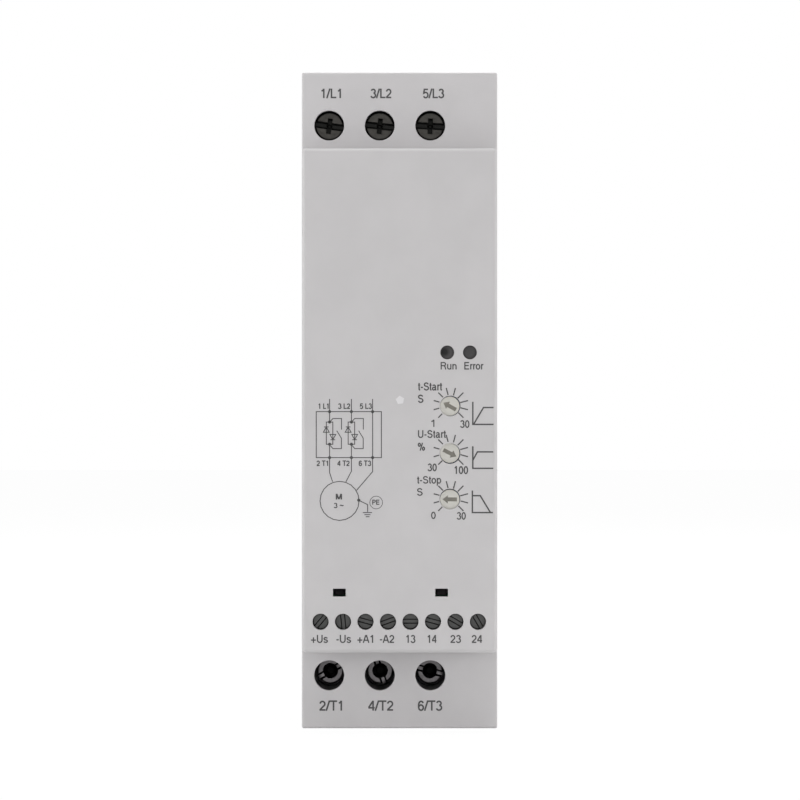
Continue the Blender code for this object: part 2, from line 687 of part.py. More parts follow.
def foot_pockets():
    """Pockets on each side of the latch channel, which keep the lower foot thin-walled."""
    body = bmesh.new()
    inner_x = LATCH_WIDTH / 2 + GAP + REAR_FLOOR
    ys = (CHANNEL_FLOOR_Y - REAR_FLOOR - BITE, FOOT_REACH - REAR_FLOOR)
    zs = (-HALF_HEIGHT + REAR_WALL, NOTCH_BOTTOM_Z - REAR_FLOOR)
    for side in (1, -1):
        add_block(body, (side * inner_x, side * REAR_INNER_X), ys, zs)
    return body


def latch_channel():
    """T-shaped channel down the lower foot, open at both ends."""
    wide = LATCH_WIDTH / 2 + GAP
    neck = LATCH_NECK / 2 + GAP
    step_y = LATCH_STEP_Y + GAP
    rear_y = FOOT_REACH + OVERCUT
    outline = [
        (-wide, CHANNEL_FLOOR_Y),
        (wide, CHANNEL_FLOOR_Y),
        (wide, step_y),
        (neck, step_y),
        (neck, rear_y),
        (-neck, rear_y),
        (-neck, step_y),
        (-wide, step_y),
    ]
    return prism(outline, "Z", (-HALF_HEIGHT - OVERCUT, NOTCH_BOTTOM_Z + OVERCUT))


def vents():
    """Slots in both end walls, in line with the spaces between the fins."""
    body = bmesh.new()
    for i in range(FINS - 1):
        x = (i - (FINS - 2) / 2) * FIN_PITCH
        for side in (1, -1):
            zs = (side * (HALF_HEIGHT + OVERCUT), side * (HALF_HEIGHT - REAR_WALL - OVERCUT))
            add_block(body, span(x, VENT_WIDTH), (SINK_FIN_Y + VENT_START, -VENT_END_DEPTH), zs)
    return body


def spring_peg():
    ys = (CHANNEL_FLOOR_Y - BITE, LATCH_REAR_Y - BITE)
    return block(span(0, PEG_WIDTH), ys, (PEG_BOTTOM_Z, PEG_TOP_Z))


def sink_ledges():
    """Ledges behind the heat sink's base, with a stop past each of its ends."""
    body = bmesh.new()
    rear_y = SINK_FIN_Y + GAP + BOARD_RAIL_THICKNESS
    for side in (1, -1):
        xs = (side * (REAR_INNER_X - SINK_LEDGE), side * (REAR_INNER_X + BITE))
        add_block(body, xs, (SINK_FIN_Y + GAP, rear_y), span(0, SINK_HEIGHT))
        for end in (1, -1):
            start_z = end * (SINK_HEIGHT / 2 + GAP)
            zs = (start_z, start_z + end * REAR_WALL)
            add_block(body, xs, (SINK_Y, rear_y), zs)
    return body


def snap_tongues():
    """Tongues with outward noses that snap into the front housing's side windows."""
    body = bmesh.new()
    front, rear = snap_nose_ys()
    outer_x = FRONT_INNER_X - GAP
    inner_x = outer_x - SNAP_THICKNESS
    nose_x = HALF_WIDTH - BITE
    tip_y = front - SNAP_NOSE_HEIGHT / 2
    root_y = PARTING_Y + GAP + SNAP_ROOT
    for side in (1, -1):
        outline = [
            (side * inner_x, tip_y),
            (side * outer_x, tip_y),
            (side * outer_x, front),
            (side * nose_x, rear - BITE),
            (side * nose_x, rear),
            (side * outer_x, rear),
            (side * outer_x, PARTING_Y + GAP),
            (side * (REAR_INNER_X + BITE), PARTING_Y + 2 * GAP),
            (side * (REAR_INNER_X + BITE), root_y),
            (side * inner_x, root_y),
        ]
        for z in (-SNAP_Z, SNAP_Z):
            add_prism(body, outline, "Z", span(z, SNAP_WIDTH))
    return body


def build_rail_latch(plastic):
    """Sliding foot: wings that run in the channel, a neck between its lips, a bevelled nose."""
    nose_end = BEHIND_RAIL_Y + LATCH_WING / 3
    wing = [
        (BEHIND_RAIL_Y, LATCH_NOSE_Z),
        (nose_end, LATCH_NOSE_Z),
        (LATCH_STEP_Y, LATCH_NOSE_Z - LATCH_WING),
        (LATCH_STEP_Y, LATCH_END_Z),
        (BEHIND_RAIL_Y, LATCH_END_Z),
    ]
    latch = add_object("rail_latch", prism(wing, "X", span(0, LATCH_WIDTH)), plastic)
    neck_top = NOTCH_BOTTOM_Z - LATCH_LAP
    neck = [
        (LATCH_STEP_Y - BITE, neck_top),
        (LATCH_STEP_Y, neck_top),
        (LATCH_REAR_Y, neck_top - LATCH_DEPTH + LATCH_WING),
        (LATCH_REAR_Y, LATCH_END_Z + BITE),
        (LATCH_STEP_Y - BITE, LATCH_END_Z + BITE),
    ]
    fuse(latch, prism(neck, "X", span(0, LATCH_NECK)))
    through = (BEHIND_RAIL_Y - OVERCUT, LATCH_REAR_Y + OVERCUT)
    window = (WINDOW_BOTTOM_Z, WINDOW_TOP_Z)
    cut(latch, block(span(0, LATCH_WINDOW_WIDTH), through, window))
    width, height = LATCH_EYE
    eye_z = LATCH_END_Z + height
    cut(latch, block(span(0, width), through, (eye_z, eye_z + height)))
    return latch


def build_latch_spring(steel):
    """Compression spring between the housing's peg and the top of the latch's window."""
    start = PEG_TOP_Z + GAP + SPRING_WIRE / 2
    end = WINDOW_TOP_Z - GAP - SPRING_WIRE / 2
    middle_y = (CHANNEL_FLOOR_Y + LATCH_REAR_Y) / 2
    curve = bpy.data.curves.new("latch_spring", "CURVE")
    curve.dimensions = "3D"
    curve.bevel_depth = SPRING_WIRE / 2
    curve.bevel_resolution = 1
    curve.use_fill_caps = True
    curve.materials.append(steel)
    steps = 10
    count = SPRING_TURNS * steps + 1
    line = curve.splines.new("POLY")
    line.points.add(count - 1)
    for i, point in enumerate(line.points):
        angle = math.tau * i / steps
        x = SPRING_DIAMETER / 2 * math.cos(angle)
        y = SPRING_DIAMETER / 2 * math.sin(angle)
        point.co = (x, middle_y + y, start + (end - start) * i / (count - 1), 1.0)
    spring = bpy.data.objects.new("latch_spring", curve)
    bpy.context.scene.collection.objects.link(spring)
    return spring


def build_terminal_carrier(row, side, head_rear_y, plastic):
    """Moulding that holds one row of three clamps: wells, ledge, cells and floor."""
    ledge_y = head_rear_y + GAP
    ledge_rear_y = ledge_y + CARRIER_WALL
    left = -FRONT_INNER_X + GAP
    right = pole_xs()[-1] + (POLE_PITCH + CARRIER_PARTITION) / 2
    inner = side * CARRIER_INNER_Z
    outer = side * (HALF_HEIGHT - FRONT_WALL - GAP)
    body = block((left, right), (ledge_y, CARRIER_REAR_Y), (inner, outer))
    carrier = add_object(f"{row}_terminal_carrier", body, plastic)
    cells = bmesh.new()
    cell_ys = (ledge_rear_y, CARRIER_FLOOR_Y)
    cell_zs = (inner + side * CARRIER_WALL, outer + side * OVERCUT)
    for x in pole_xs():
        cell_left, cell_right = span(x, POLE_PITCH - CARRIER_PARTITION)
        if cell_left - CARRIER_PARTITION / 2 < left:
            cell_left = left - OVERCUT
        add_block(cells, (cell_left, cell_right), cell_ys, cell_zs)
    cut(carrier, cells)
    fuse(carrier, carrier_wells(side, ledge_y))
    places = [(x, side * TERMINAL_Z) for x in pole_xs()]
    cut(carrier, rods(WELL_BORE, (SHOULDER_Y, ledge_y), places, MEDIUM_STEPS))
    hole = SHANK_DIAMETER + 2 * GAP
    hole_ys = (ledge_y - OVERCUT, ledge_rear_y + OVERCUT)
    cut(carrier, rods(hole, hole_ys, places, COARSE_STEPS))
    slots = bmesh.new()
    slot_zs = (inner - side * OVERCUT, inner + side * (CARRIER_WALL + OVERCUT))
    for x in pole_xs():
        add_block(slots, span(x, BAR_WIDTH + 2 * GAP), (BAR_Y - GAP, BAR_REAR_Y + GAP), slot_zs)
    cut(carrier, slots)
    return carrier


def carrier_wells(side, ledge_y):
    body = bmesh.new()
    front = SHOULDER_Y + FRONT_WALL + GAP
    for x in pole_xs():
        profile = rod_profile(WELL_BORE + 2 * WELL_WALL, front, ledge_y + BITE)
        add_turned(body, profile, x, side * TERMINAL_Z, MEDIUM_STEPS)
    return body


def head_profile(radius, height, shank_radius, tip, recess=None):
    """A screw's half outline about its own axis, with the seat under the head at y = 0."""
    chamfer = radius / 10
    front = -height
    face = [(0.0, front)]
    if recess:
        recess_radius, recess_depth = recess
        face = [
            (0.0, front + recess_depth),
            (recess_radius * 0.45, front + recess_depth * 0.9),
            (recess_radius, front),
        ]
    tail = shank_radius / 4
    return face + [
        (radius - chamfer, front),
        (radius, front + chamfer),
        (radius, 0.0),
        (shank_radius, 0.0),
        (shank_radius, tip - tail),
        (shank_radius - tail, tip),
        (0.0, tip),
    ]


def main_screw_mesh(head_rear_y, head_diameter, steel):
    tip = BAR_Y - GAP - head_rear_y
    recess = (RECESS_DIAMETER / 2, RECESS_DEPTH)
    profile = head_profile(head_diameter / 2, HEAD_HEIGHT, SHANK_DIAMETER / 2, tip, recess)
    screw = add_object("main_screw", turned(profile, MEDIUM_STEPS), steel, smooth=True)
    slot_ys = (-HEAD_HEIGHT - OVERCUT, -HEAD_HEIGHT + SLOT_DEPTH)
    length = head_diameter + 2 * OVERCUT
    cut(screw, block(span(0, length), slot_ys, span(0, SLOT_WIDTH)))
    cut(screw, block(span(0, SLOT_WIDTH), slot_ys, span(0, RECESS_DIAMETER + OVERCUT)))
    return finished_mesh(screw)


def build_main_screws(steel):
    turns = {"line": (8.0, 6.0, 3.0), "load": (-35.0, -84.0, 4.0)}
    for row, side, head_rear_y, head_diameter in ROWS:
        mesh = main_screw_mesh(head_rear_y, head_diameter, steel)
        for i, x in enumerate(pole_xs()):
            place = (x, head_rear_y, side * TERMINAL_Z)
            turn = math.radians(turns[row][i])
            place_mesh(f"{row}_screw_{i + 1}", mesh, place, turn)


def cage_mesh(name, sizes, steel):
    """A rectangular ring: thick threaded front, thin sides, rear jaw. Its front is at y = 0."""
    width, height, front, side, inner_depth, rear, bore = sizes
    depth = front + inner_depth + rear
    cage = add_object(name, block(span(0, width), (0.0, depth), span(0, height)), steel)
    tunnel = span(0, height + 2 * OVERCUT)
    cut(cage, block(span(0, width - 2 * side), (front, front + inner_depth), tunnel))
    cut(cage, rods(bore, (-OVERCUT, front + OVERCUT), [(0.0, 0.0)], COARSE_STEPS))
    return finished_mesh(cage)


def build_main_cages(steel):
    bore = SHANK_DIAMETER + 2 * GAP
    inner_depth = CAGE_SEAT_Y - CAGE_Y - CAGE_FRONT
    sizes = (CAGE_WIDTH, CAGE_HEIGHT, CAGE_FRONT, CAGE_SIDE, inner_depth, CAGE_REAR, bore)
    mesh = cage_mesh("main_cage", sizes, steel)
    for row, side in (("line", 1), ("load", -1)):
        for i, x in enumerate(pole_xs()):
            place_mesh(f"{row}_cage_{i + 1}", mesh, (x, CAGE_Y, side * TERMINAL_Z))


def build_bars(copper):
    """Four bars that step back to a module's lug, and the third pole's straight one."""
    lug_rear = LUG_Y - GAP
    jog_back = lug_rear - BAR_REAR_Y
    end_z = LUG_Z - LUG_SIZE[1] / 2
    for row, side in (("line", 1), ("load", -1)):
        for i, x in enumerate(pole_xs()[:-1]):
            front = [
                (BAR_Y, side * BAR_END_Z),
                (BAR_Y, side * BAR_JOG_Z),
                (BAR_Y + jog_back, side * (BAR_JOG_Z - BAR_JOG)),
                (BAR_Y + jog_back, side * end_z),
            ]
            rear = [(y + BAR_THICKNESS, z) for y, z in reversed(front)]
            body = prism(front + rear, "X", span(x, BAR_WIDTH))
            add_object(f"{row}_bar_{i + 1}", body, copper)
    x = pole_xs()[-1]
    body = block(span(x, BAR_WIDTH), (BAR_Y, BAR_REAR_Y), span(0, 2 * BAR_END_Z))
    add_object("through_bar", body, copper)


def build_control_block(plastic):
    """Terminal block in the cover's foot: a cell, a screw well and a contact for each clamp."""
    xs = span(0, 2 * (COVER_INNER_X - GAP))
    bottom = -COVER_INNER_Z + GAP
    top = bottom + CONTROL_BLOCK_HEIGHT
    body = block(xs, (COVER_INNER_Y + GAP, CONTROL_BLOCK_REAR_Y), (bottom, top))
    control = add_object("control_terminal_block", body, plastic)
    cells = bmesh.new()
    wells = bmesh.new()
    entries = bmesh.new()
    contacts = bmesh.new()
    cell_width = CONTROL_CAGE_WIDTH + 2 * GAP
    cell_zs = span(CONTROL_ROW_Z, CONTROL_CAGE_HEIGHT + 2 * CONTROL_CELL_END)
    wire_y = (CONTROL_CONTACT_REAR_Y + CONTROL_CAGE_SEAT_Y) / 2
    well_radius = CONTROL_HEAD_DIAMETER / 2 + CONTROL_WELL_PLAY
    hole_radius = CONTROL_SHANK_DIAMETER / 2 + GAP
    well = [
        (0.0, COVER_INNER_Y - OVERCUT),
        (well_radius, COVER_INNER_Y - OVERCUT),
        (well_radius, CONTROL_LEDGE_Y),
        (hole_radius, CONTROL_LEDGE_Y),
        (hole_radius, CONTROL_CELL_Y + BITE),
        (0.0, CONTROL_CELL_Y + BITE),
    ]
    entry = CONTROL_CAGE_WIDTH - 2 * CONTROL_CAGE_SIDE
    contact_zs = (min(cell_zs) + CONTROL_CELL_END, max(cell_zs) + BITE)
    for x in control_xs():
        add_block(cells, span(x, cell_width), (CONTROL_CELL_Y, CONTROL_CELL_REAR_Y), cell_zs)
        add_turned(wells, well, x, CONTROL_ROW_Z, COARSE_STEPS)
        entry_zs = (bottom - OVERCUT, min(cell_zs) + BITE)
        add_block(entries, span(x, entry), span(wire_y, entry), entry_zs)
        contact_ys = (CONTROL_CONTACT_Y, CONTROL_CONTACT_REAR_Y)
        add_block(contacts, span(x, entry - 2 * GAP), contact_ys, contact_zs)
    cut(control, cells)
    cut(control, wells)
    cut(control, entries)
    fuse(control, contacts)
    return control


def build_control_screws(steel):
    tip = CONTROL_CONTACT_Y - GAP - CONTROL_HEAD_REAR_Y
    head_radius = CONTROL_HEAD_DIAMETER / 2
    shank_radius = CONTROL_SHANK_DIAMETER / 2
    profile = head_profile(head_radius, CONTROL_HEAD_HEIGHT, shank_radius, tip)
    body = turned(profile, COARSE_STEPS)
    screw = add_object("control_screw", body, steel, smooth=True)
    slot_ys = (-CONTROL_HEAD_HEIGHT - OVERCUT, -CONTROL_HEAD_HEIGHT + CONTROL_SLOT_DEPTH)
    length = CONTROL_HEAD_DIAMETER + 2 * OVERCUT
    cut(screw, block(span(0, length), slot_ys, span(0, CONTROL_SLOT_WIDTH)))
    mesh = finished_mesh(screw)
    turns = (-50.0, 84.0, 15.0, -20.0, 0.0, 15.0, 30.0, 60.0)
    for i, x in enumerate(control_xs()):
        place = (x, CONTROL_HEAD_REAR_Y, CONTROL_ROW_Z)
        place_mesh(f"control_screw_{i + 1}", mesh, place, math.radians(turns[i % len(turns)]))


def build_control_cages(steel):
    bore = CONTROL_SHANK_DIAMETER + 2 * GAP
    inner_depth = CONTROL_CAGE_SEAT_Y - CONTROL_CAGE_Y - CONTROL_CAGE_FRONT
    sizes = (
        CONTROL_CAGE_WIDTH,
        CONTROL_CAGE_HEIGHT,
        CONTROL_CAGE_FRONT,
        CONTROL_CAGE_SIDE,
        inner_depth,
        CONTROL_CAGE_REAR,
        bore,
    )
    mesh = cage_mesh("control_cage", sizes, steel)
    for i, x in enumerate(control_xs()):
        place_mesh(f"control_cage_{i + 1}", mesh, (x, CONTROL_CAGE_Y, CONTROL_ROW_Z))


def arrow_outline():
    """Arrow pointing to +X, about the dial's axis."""
    half = ARROW_LENGTH / 2
    neck = half - ARROW_HEAD * 0.7
    return [
        (-half, -ARROW_SHAFT / 2),
        (neck, -ARROW_SHAFT / 2),
        (neck, -ARROW_HEAD / 2),
        (half, 0.0),
        (neck, ARROW_HEAD / 2),
        (neck, ARROW_SHAFT / 2),
        (-half, ARROW_SHAFT / 2),
    ]


def build_dials(dial_plastic, body_plastic):
    """Each setting dial: a rotor with a sunk arrow, and the body that carries its stem."""
    front = COVER_Y + DIAL_SINK
    body_y = front + DIAL_THICKNESS + GAP
    radius = DIAL_DIAMETER / 2
    rim = radius / 8
    stem = DIAL_STEM / 2
    profile = [
        (0.0, 0.0),
        (radius - rim, 0.0),
        (radius, rim),
        (radius, DIAL_THICKNESS),
        (stem, DIAL_THICKNESS),
        (stem, DIAL_THICKNESS + DIAL_STEM_LENGTH),
        (0.0, DIAL_THICKNESS + DIAL_STEM_LENGTH),
    ]
    rotor = add_object("dial", turned(profile), dial_plastic, smooth=True)
    cut(rotor, prism(arrow_outline(), "Y", (-OVERCUT, ARROW_DEPTH)))
    mesh = finished_mesh(rotor)
    bore_end = body_y + DIAL_STEM_LENGTH
    for name, z, angle in DIALS:
        place_mesh(f"{name}_dial", mesh, (DIAL_X, front, z), -math.radians(angle))
        base = block(span(DIAL_X, DIAL_BODY), (body_y, BOARD_Y - GAP), span(z, DIAL_BODY))
        carrier = add_object(f"{name}_dial_body", base, body_plastic)
        bore = rods(DIAL_STEM + 2 * GAP, (body_y - OVERCUT, bore_end), [(DIAL_X, z)], COARSE_STEPS)
        cut(carrier, bore)


def build_light_guides(clear_plastic):
    front = COVER_Y + GUIDE_SINK
    foot_y = BOARD_Y - GAP
    radius = GUIDE_DIAMETER / 2
    profile = [
        (0.0, front),
        (radius * 0.8, front + radius * 0.1),
        (radius, front + radius * 0.4),
        (radius, foot_y - GUIDE_FOOT_HEIGHT),
        (GUIDE_FOOT / 2, foot_y - GUIDE_FOOT_HEIGHT),
        (GUIDE_FOOT / 2, foot_y),
        (0.0, foot_y),
    ]
    for name, inset in INDICATORS:
        body = bmesh.new()
        add_turned(body, profile, COVER_HALF_WIDTH - inset, INDICATOR_Z, MEDIUM_STEPS)
        add_object(f"{name}_light_guide", body, clear_plastic, smooth=True)


def build_heat_sink(aluminium):
    """Extruded comb: a base plate with its fins to the rear."""
    half = REAR_INNER_X - GAP
    tip_y = -SINK_FIN_END_DEPTH
    outline = [(-half, SINK_Y), (half, SINK_Y), (half, SINK_FIN_Y)]
    for i in reversed(range(FINS)):
        x = (i - (FINS - 1) / 2) * FIN_PITCH
        taper = FIN_THICKNESS / 6
        outline += [
            (x + FIN_THICKNESS / 2, SINK_FIN_Y),
            (x + FIN_THICKNESS / 2 - taper, tip_y),
            (x - FIN_THICKNESS / 2 + taper, tip_y),
            (x - FIN_THICKNESS / 2, SINK_FIN_Y),
        ]
    outline.append((-half, SINK_FIN_Y))
    add_object("heat_sink", prism(outline, "Z", span(0, SINK_HEIGHT)), aluminium)


def build_modules(epoxy):
    """Two thyristor modules on the heat sink, each with a lug for its line and load bars."""
    for i, (x, offset) in enumerate(zip(pole_xs(), MODULE_OFFSETS)):
        xs = span(x + offset, MODULE_WIDTH)
        zs = span(0, MODULE_HEIGHT)
        module = add_object(
            f"thyristor_module_{i + 1}", block(xs, (MODULE_Y, MODULE_REAR_Y), zs), epoxy
        )
        lugs = bmesh.new()
        for side in (1, -1):
            zs = span(side * LUG_Z, LUG_SIZE[1])
            add_block(lugs, span(x, LUG_SIZE[0]), (LUG_Y, MODULE_Y + BITE), zs)
        fuse(module, lugs)


def build_power_board(laminate):
    """Board over the modules, between their lugs."""
    xs = span(0, 2 * (FRONT_INNER_X - GAP))
    ys = (POWER_BOARD_Y, POWER_BOARD_REAR_Y)
    add_object("power_board", block(xs, ys, span(0, POWER_BOARD_HEIGHT)), laminate)


def build_relays(plastic):
    """Two bypass relays side by side, left of the through bar."""
    right = pole_xs()[-1] - BAR_WIDTH / 2 - 2 * GAP
    left = -FRONT_INNER_X + RELAY_SIDE_ROOM
    width = (right - left) / 2 - GAP
    front = ON_POWER_BOARD_Y - RELAY_DEPTH
    for i in (1, 0):
        xs = (right - width, right)
        body = block(xs, (front, ON_POWER_BOARD_Y), span(0, RELAY_HEIGHT))
        round_front(body, RELAY_EDGE, front)
        add_object(f"bypass_relay_{i + 1}", body, plastic)
        right -= width + 2 * GAP


def build_transformer(iron):
    """Supply transformer, right of the through bar: a wound bobbin in an E-shaped core."""
    left = right_of_bar()
    right = FRONT_INNER_X - TRANSFORMER_SIDE_ROOM
    front = ON_POWER_BOARD_Y - TRANSFORMER_DEPTH
    bottom = -POWER_BOARD_HEIGHT / 2
    core = block((left, right), (front, ON_POWER_BOARD_Y), (bottom, TRANSFORMER_TOP))
    transformer = add_object("supply_transformer", core, iron)
    recess_ys = (front + TRANSFORMER_CORE, ON_POWER_BOARD_Y - TRANSFORMER_CORE)
    recess_zs = (bottom + TRANSFORMER_CORE, TRANSFORMER_TOP - TRANSFORMER_CORE)
    depth = (right - left) / 8
    recesses = bmesh.new()
    add_block(recesses, (left - OVERCUT, left + depth), recess_ys, recess_zs)
    add_block(recesses, (right + OVERCUT, right - depth), recess_ys, recess_zs)
    cut(transformer, recesses)


def build_board_connector(plastic):
    xs = (right_of_bar(), FRONT_INNER_X - BOARD_RAIL - CONNECTOR_SIDE_ROOM)
    ys = (BOARD_REAR_Y + GAP, ON_POWER_BOARD_Y)
    zs = span(CONNECTOR_Z, CONNECTOR_HEIGHT)
    add_object("board_connector", block(xs, ys, zs), plastic)


def build_capacitor(sleeve):
    """Buffer capacitor on the rear of the control board."""
    x = CAPACITOR_SIDE_ROOM - FRONT_INNER_X
    z = COVER_INNER_Z - CAPACITOR_END_ROOM
    radius = CAPACITOR_DIAMETER / 2
    start = BOARD_REAR_Y + GAP
    end = start + CAPACITOR_LENGTH
    edge = radius / 8
    profile = [
        (0.0, start),
        (radius - edge, start),
        (radius, start + edge),
        (radius, end - edge),
        (radius - edge, end),
        (0.0, end),
    ]
    body = bmesh.new()
    add_turned(body, profile, x, z, COARSE_STEPS)
    add_object("buffer_capacitor", body, sleeve, smooth=True)


def build_control_board(laminate):
    """Board in the cover, with slots for the cover's hooks and the parts soldered on it."""
    xs = span(0, 2 * (COVER_INNER_X - GAP))
    zs = span(0, 2 * (COVER_INNER_Z - GAP))
    board = add_object("control_board", block(xs, (BOARD_Y, BOARD_REAR_Y), zs), laminate)
    slots = bmesh.new()
    slot_ys = (BOARD_Y - OVERCUT, BOARD_REAR_Y + OVERCUT)
    for x in hook_xs():
        zs = span(HOOK_WINDOW_Z, HOOK_WINDOW[1])
        add_block(slots, span(x, HOOK_WINDOW[0]), slot_ys, zs)
    cut(board, slots)
    chips = bmesh.new()
    for i in range(CHIPS):
        zs = span(COVER_INNER_Z / 2 - 2 * CHIP_SIZE * i, CHIP_SIZE)
        add_block(chips, span(-CHIP_SIZE, CHIP_SIZE), (BOARD_Y - CHIP_HEIGHT, BOARD_Y + BITE), zs)
    fuse(board, chips)


def main():
    clear_scene()
    grey = make_material("pale_grey_plastic", (0.545, 0.530, 0.535), 0.55)
    rear_grey = make_material("pale_grey_rear_plastic", (0.53, 0.52, 0.52), 0.58)
    black = make_material("black_plastic", (0.012, 0.012, 0.012), 0.45)
    latch_grey = make_material("latch_plastic", (0.05, 0.05, 0.05), 0.5)
    green = make_material("control_block_plastic", (0.03, 0.035, 0.03), 0.5)
    dial_cream = make_material("dial_plastic", (0.56, 0.54, 0.48), 0.5)
    body_blue = make_material("dial_body_plastic", (0.04, 0.12, 0.30), 0.5)
    smoked = make_material("smoked_clear_plastic", (0.05, 0.05, 0.05), 0.25)
    zinc = make_material("zinc_plated_steel", (0.50, 0.50, 0.48), 0.35, 1.0)
    dark_zinc = make_material("dark_zinc_plated_steel", (0.10, 0.11, 0.10), 0.4, 1.0)
    spring_steel = make_material("spring_steel", (0.40, 0.40, 0.42), 0.3, 1.0)
    tinned_copper = make_material("tinned_copper", (0.62, 0.56, 0.50), 0.3, 1.0)
    aluminium = make_material("extruded_aluminium", (0.70, 0.71, 0.73), 0.35, 1.0)
    laminate = make_material("board_laminate", (0.02, 0.16, 0.06), 0.4)
    epoxy = make_material("module_epoxy", (0.03, 0.03, 0.035), 0.6)
    relay_plastic = make_material("relay_plastic", (0.02, 0.02, 0.025), 0.4)
    iron = make_material("transformer_core", (0.09, 0.09, 0.09), 0.6)
    sleeve = make_material("capacitor_sleeve", (0.01, 0.015, 0.05), 0.35)

    build_front_housing(grey)
    build_front_cover(grey)
    build_rear_housing(rear_grey)
    build_rail_latch(latch_grey)
    build_latch_spring(spring_steel)
    for row, side, head_rear_y, _ in ROWS:
        build_terminal_carrier(row, side, head_rear_y, black)
    build_main_screws(zinc)
    build_main_cages(zinc)
    build_bars(tinned_copper)
    build_control_block(green)
    build_control_screws(dark_zinc)
    build_control_cages(zinc)
    build_dials(dial_cream, body_blue)
    build_light_guides(smoked)
    build_heat_sink(aluminium)
    build_modules(epoxy)
    build_power_board(laminate)
    build_relays(relay_plastic)
    build_transformer(iron)
    build_board_connector(relay_plastic)
    build_capacitor(sleeve)
    build_control_board(laminate)


main()
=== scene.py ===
"""Looks of the soft starter: its mouldings, screws, dials, print and inner parts, and the stage.

Metres, +Z up, front towards -Y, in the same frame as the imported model.
"""

import json
import math

import bpy
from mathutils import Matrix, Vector

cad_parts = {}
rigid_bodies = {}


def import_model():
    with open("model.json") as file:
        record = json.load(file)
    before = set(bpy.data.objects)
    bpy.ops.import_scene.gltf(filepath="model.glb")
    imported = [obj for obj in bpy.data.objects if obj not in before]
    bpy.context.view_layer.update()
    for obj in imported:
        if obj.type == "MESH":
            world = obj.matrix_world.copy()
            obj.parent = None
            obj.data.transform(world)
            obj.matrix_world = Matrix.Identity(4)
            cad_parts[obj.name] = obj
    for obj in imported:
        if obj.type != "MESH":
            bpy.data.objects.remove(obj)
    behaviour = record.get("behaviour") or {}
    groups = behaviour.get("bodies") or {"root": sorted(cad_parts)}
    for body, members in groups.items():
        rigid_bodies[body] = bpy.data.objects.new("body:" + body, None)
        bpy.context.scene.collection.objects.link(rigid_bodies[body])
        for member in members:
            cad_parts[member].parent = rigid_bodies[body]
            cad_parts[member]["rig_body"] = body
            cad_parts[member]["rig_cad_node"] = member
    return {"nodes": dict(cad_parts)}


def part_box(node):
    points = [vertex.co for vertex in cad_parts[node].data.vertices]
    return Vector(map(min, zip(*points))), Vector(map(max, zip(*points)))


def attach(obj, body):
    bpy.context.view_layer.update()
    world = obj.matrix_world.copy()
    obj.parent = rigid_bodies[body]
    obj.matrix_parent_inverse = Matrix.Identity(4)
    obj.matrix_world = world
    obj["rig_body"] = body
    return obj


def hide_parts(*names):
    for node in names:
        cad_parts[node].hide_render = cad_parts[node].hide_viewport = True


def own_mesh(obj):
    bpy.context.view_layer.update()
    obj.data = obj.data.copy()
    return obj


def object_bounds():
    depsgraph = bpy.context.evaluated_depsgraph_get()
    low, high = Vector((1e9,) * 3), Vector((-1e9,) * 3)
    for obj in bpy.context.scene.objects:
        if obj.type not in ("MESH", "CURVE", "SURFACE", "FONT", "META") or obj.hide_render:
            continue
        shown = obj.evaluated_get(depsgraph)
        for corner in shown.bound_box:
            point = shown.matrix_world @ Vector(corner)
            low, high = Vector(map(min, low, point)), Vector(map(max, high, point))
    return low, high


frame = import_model()
CAD_BOX = [list(corner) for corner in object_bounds()]

bl_info = {
    "name": "Soft starter",
    "version": (1, 0, 0),
    "blender": (4, 5, 0),
    "location": "3D View > Sidebar > Soft starter",
    "description": "Models the visible pieces of a soft starter round its packed solids",
    "category": "Object",
}

MM = 0.001
NODES = frame["nodes"]
HOUSING = "housing"
POLES = range(1, 4)
CONTROLS = range(1, 9)
DIALS = ("run_up_time", "start_voltage", "run_down_time")
DIAL_ANGLES = (151.0, -27.0, 180.0)
DIAL_GAPS = (35.0, -55.0, 75.0)  # where the hole leaves its widest gap
GUIDES = ("run", "error")
SHOULDERS = -95.5 * MM  # front faces of the two terminal shoulders
HOOK_XS = (-13.6 * MM, 9.5 * MM)
HOOK_Z = -43.4 * MM
LINE_TURNS = (8.0, 6.0, 3.0)
LOAD_TURNS = (-30.0, 71.0, 15.0)
CONTROL_TURNS = (-50.0, 84.0, 15.0, -20.0, 0.0, 15.0, 30.0, 60.0)
SMOOTH = math.radians(35.0)


def length(name, text, millimetres):
    return bpy.props.FloatProperty(
        name=name, description=text, default=millimetres * MM, min=0.0, unit="LENGTH", precision=5
    )


def colour(name, text, *default):
    return bpy.props.FloatVectorProperty(
        name=name, description=text, default=default, min=0.0, max=1.0, subtype="COLOR"
    )


class StarterSizes(bpy.types.PropertyGroup):
    """Sizes that shape the visible pieces"""

    cover_radius: length("Cover edge", "Radius of the cover's outer edges", 1.0)
    shell_radius: length("Shoulder edge", "Radius of the housing's front edges", 0.4)
    lip: length("Hole lip", "Radius round the holes of the mouldings", 0.12)
    ink: length("Ink", "How far the print stands off the plastic", 0.02)
    control_hole: length("Control hole", "Hole over a control screw", 3.66)
    dial_hole: length("Dial hole", "Hole round a setting dial", 4.66)
    dial_shift: length("Dial shift", "How far a dial's hole is off its middle", 0.1)
    indicator_hole: length("Indicator hole", "Hole round a light guide", 3.14)
    screw_hole: length("Screw hole", "Hole over a main screw", 6.9)
    main_slot: length("Main slot", "Width of the slot in a main screw", 1.6)
    control_slot: length("Control slot", "Width of the slot in a control screw", 1.1)
    line_recess: length("Line recess", "Width of the recess in a line screw", 1.5)
    load_recess: length("Load recess", "Width of the recess in a load screw", 3.6)
    thread: length("Thread", "Pitch of the thread on a main screw", 0.7)
    facets: bpy.props.IntProperty(
        name="Facets", description="Facets round a hole or a screw", default=64, min=16
    )


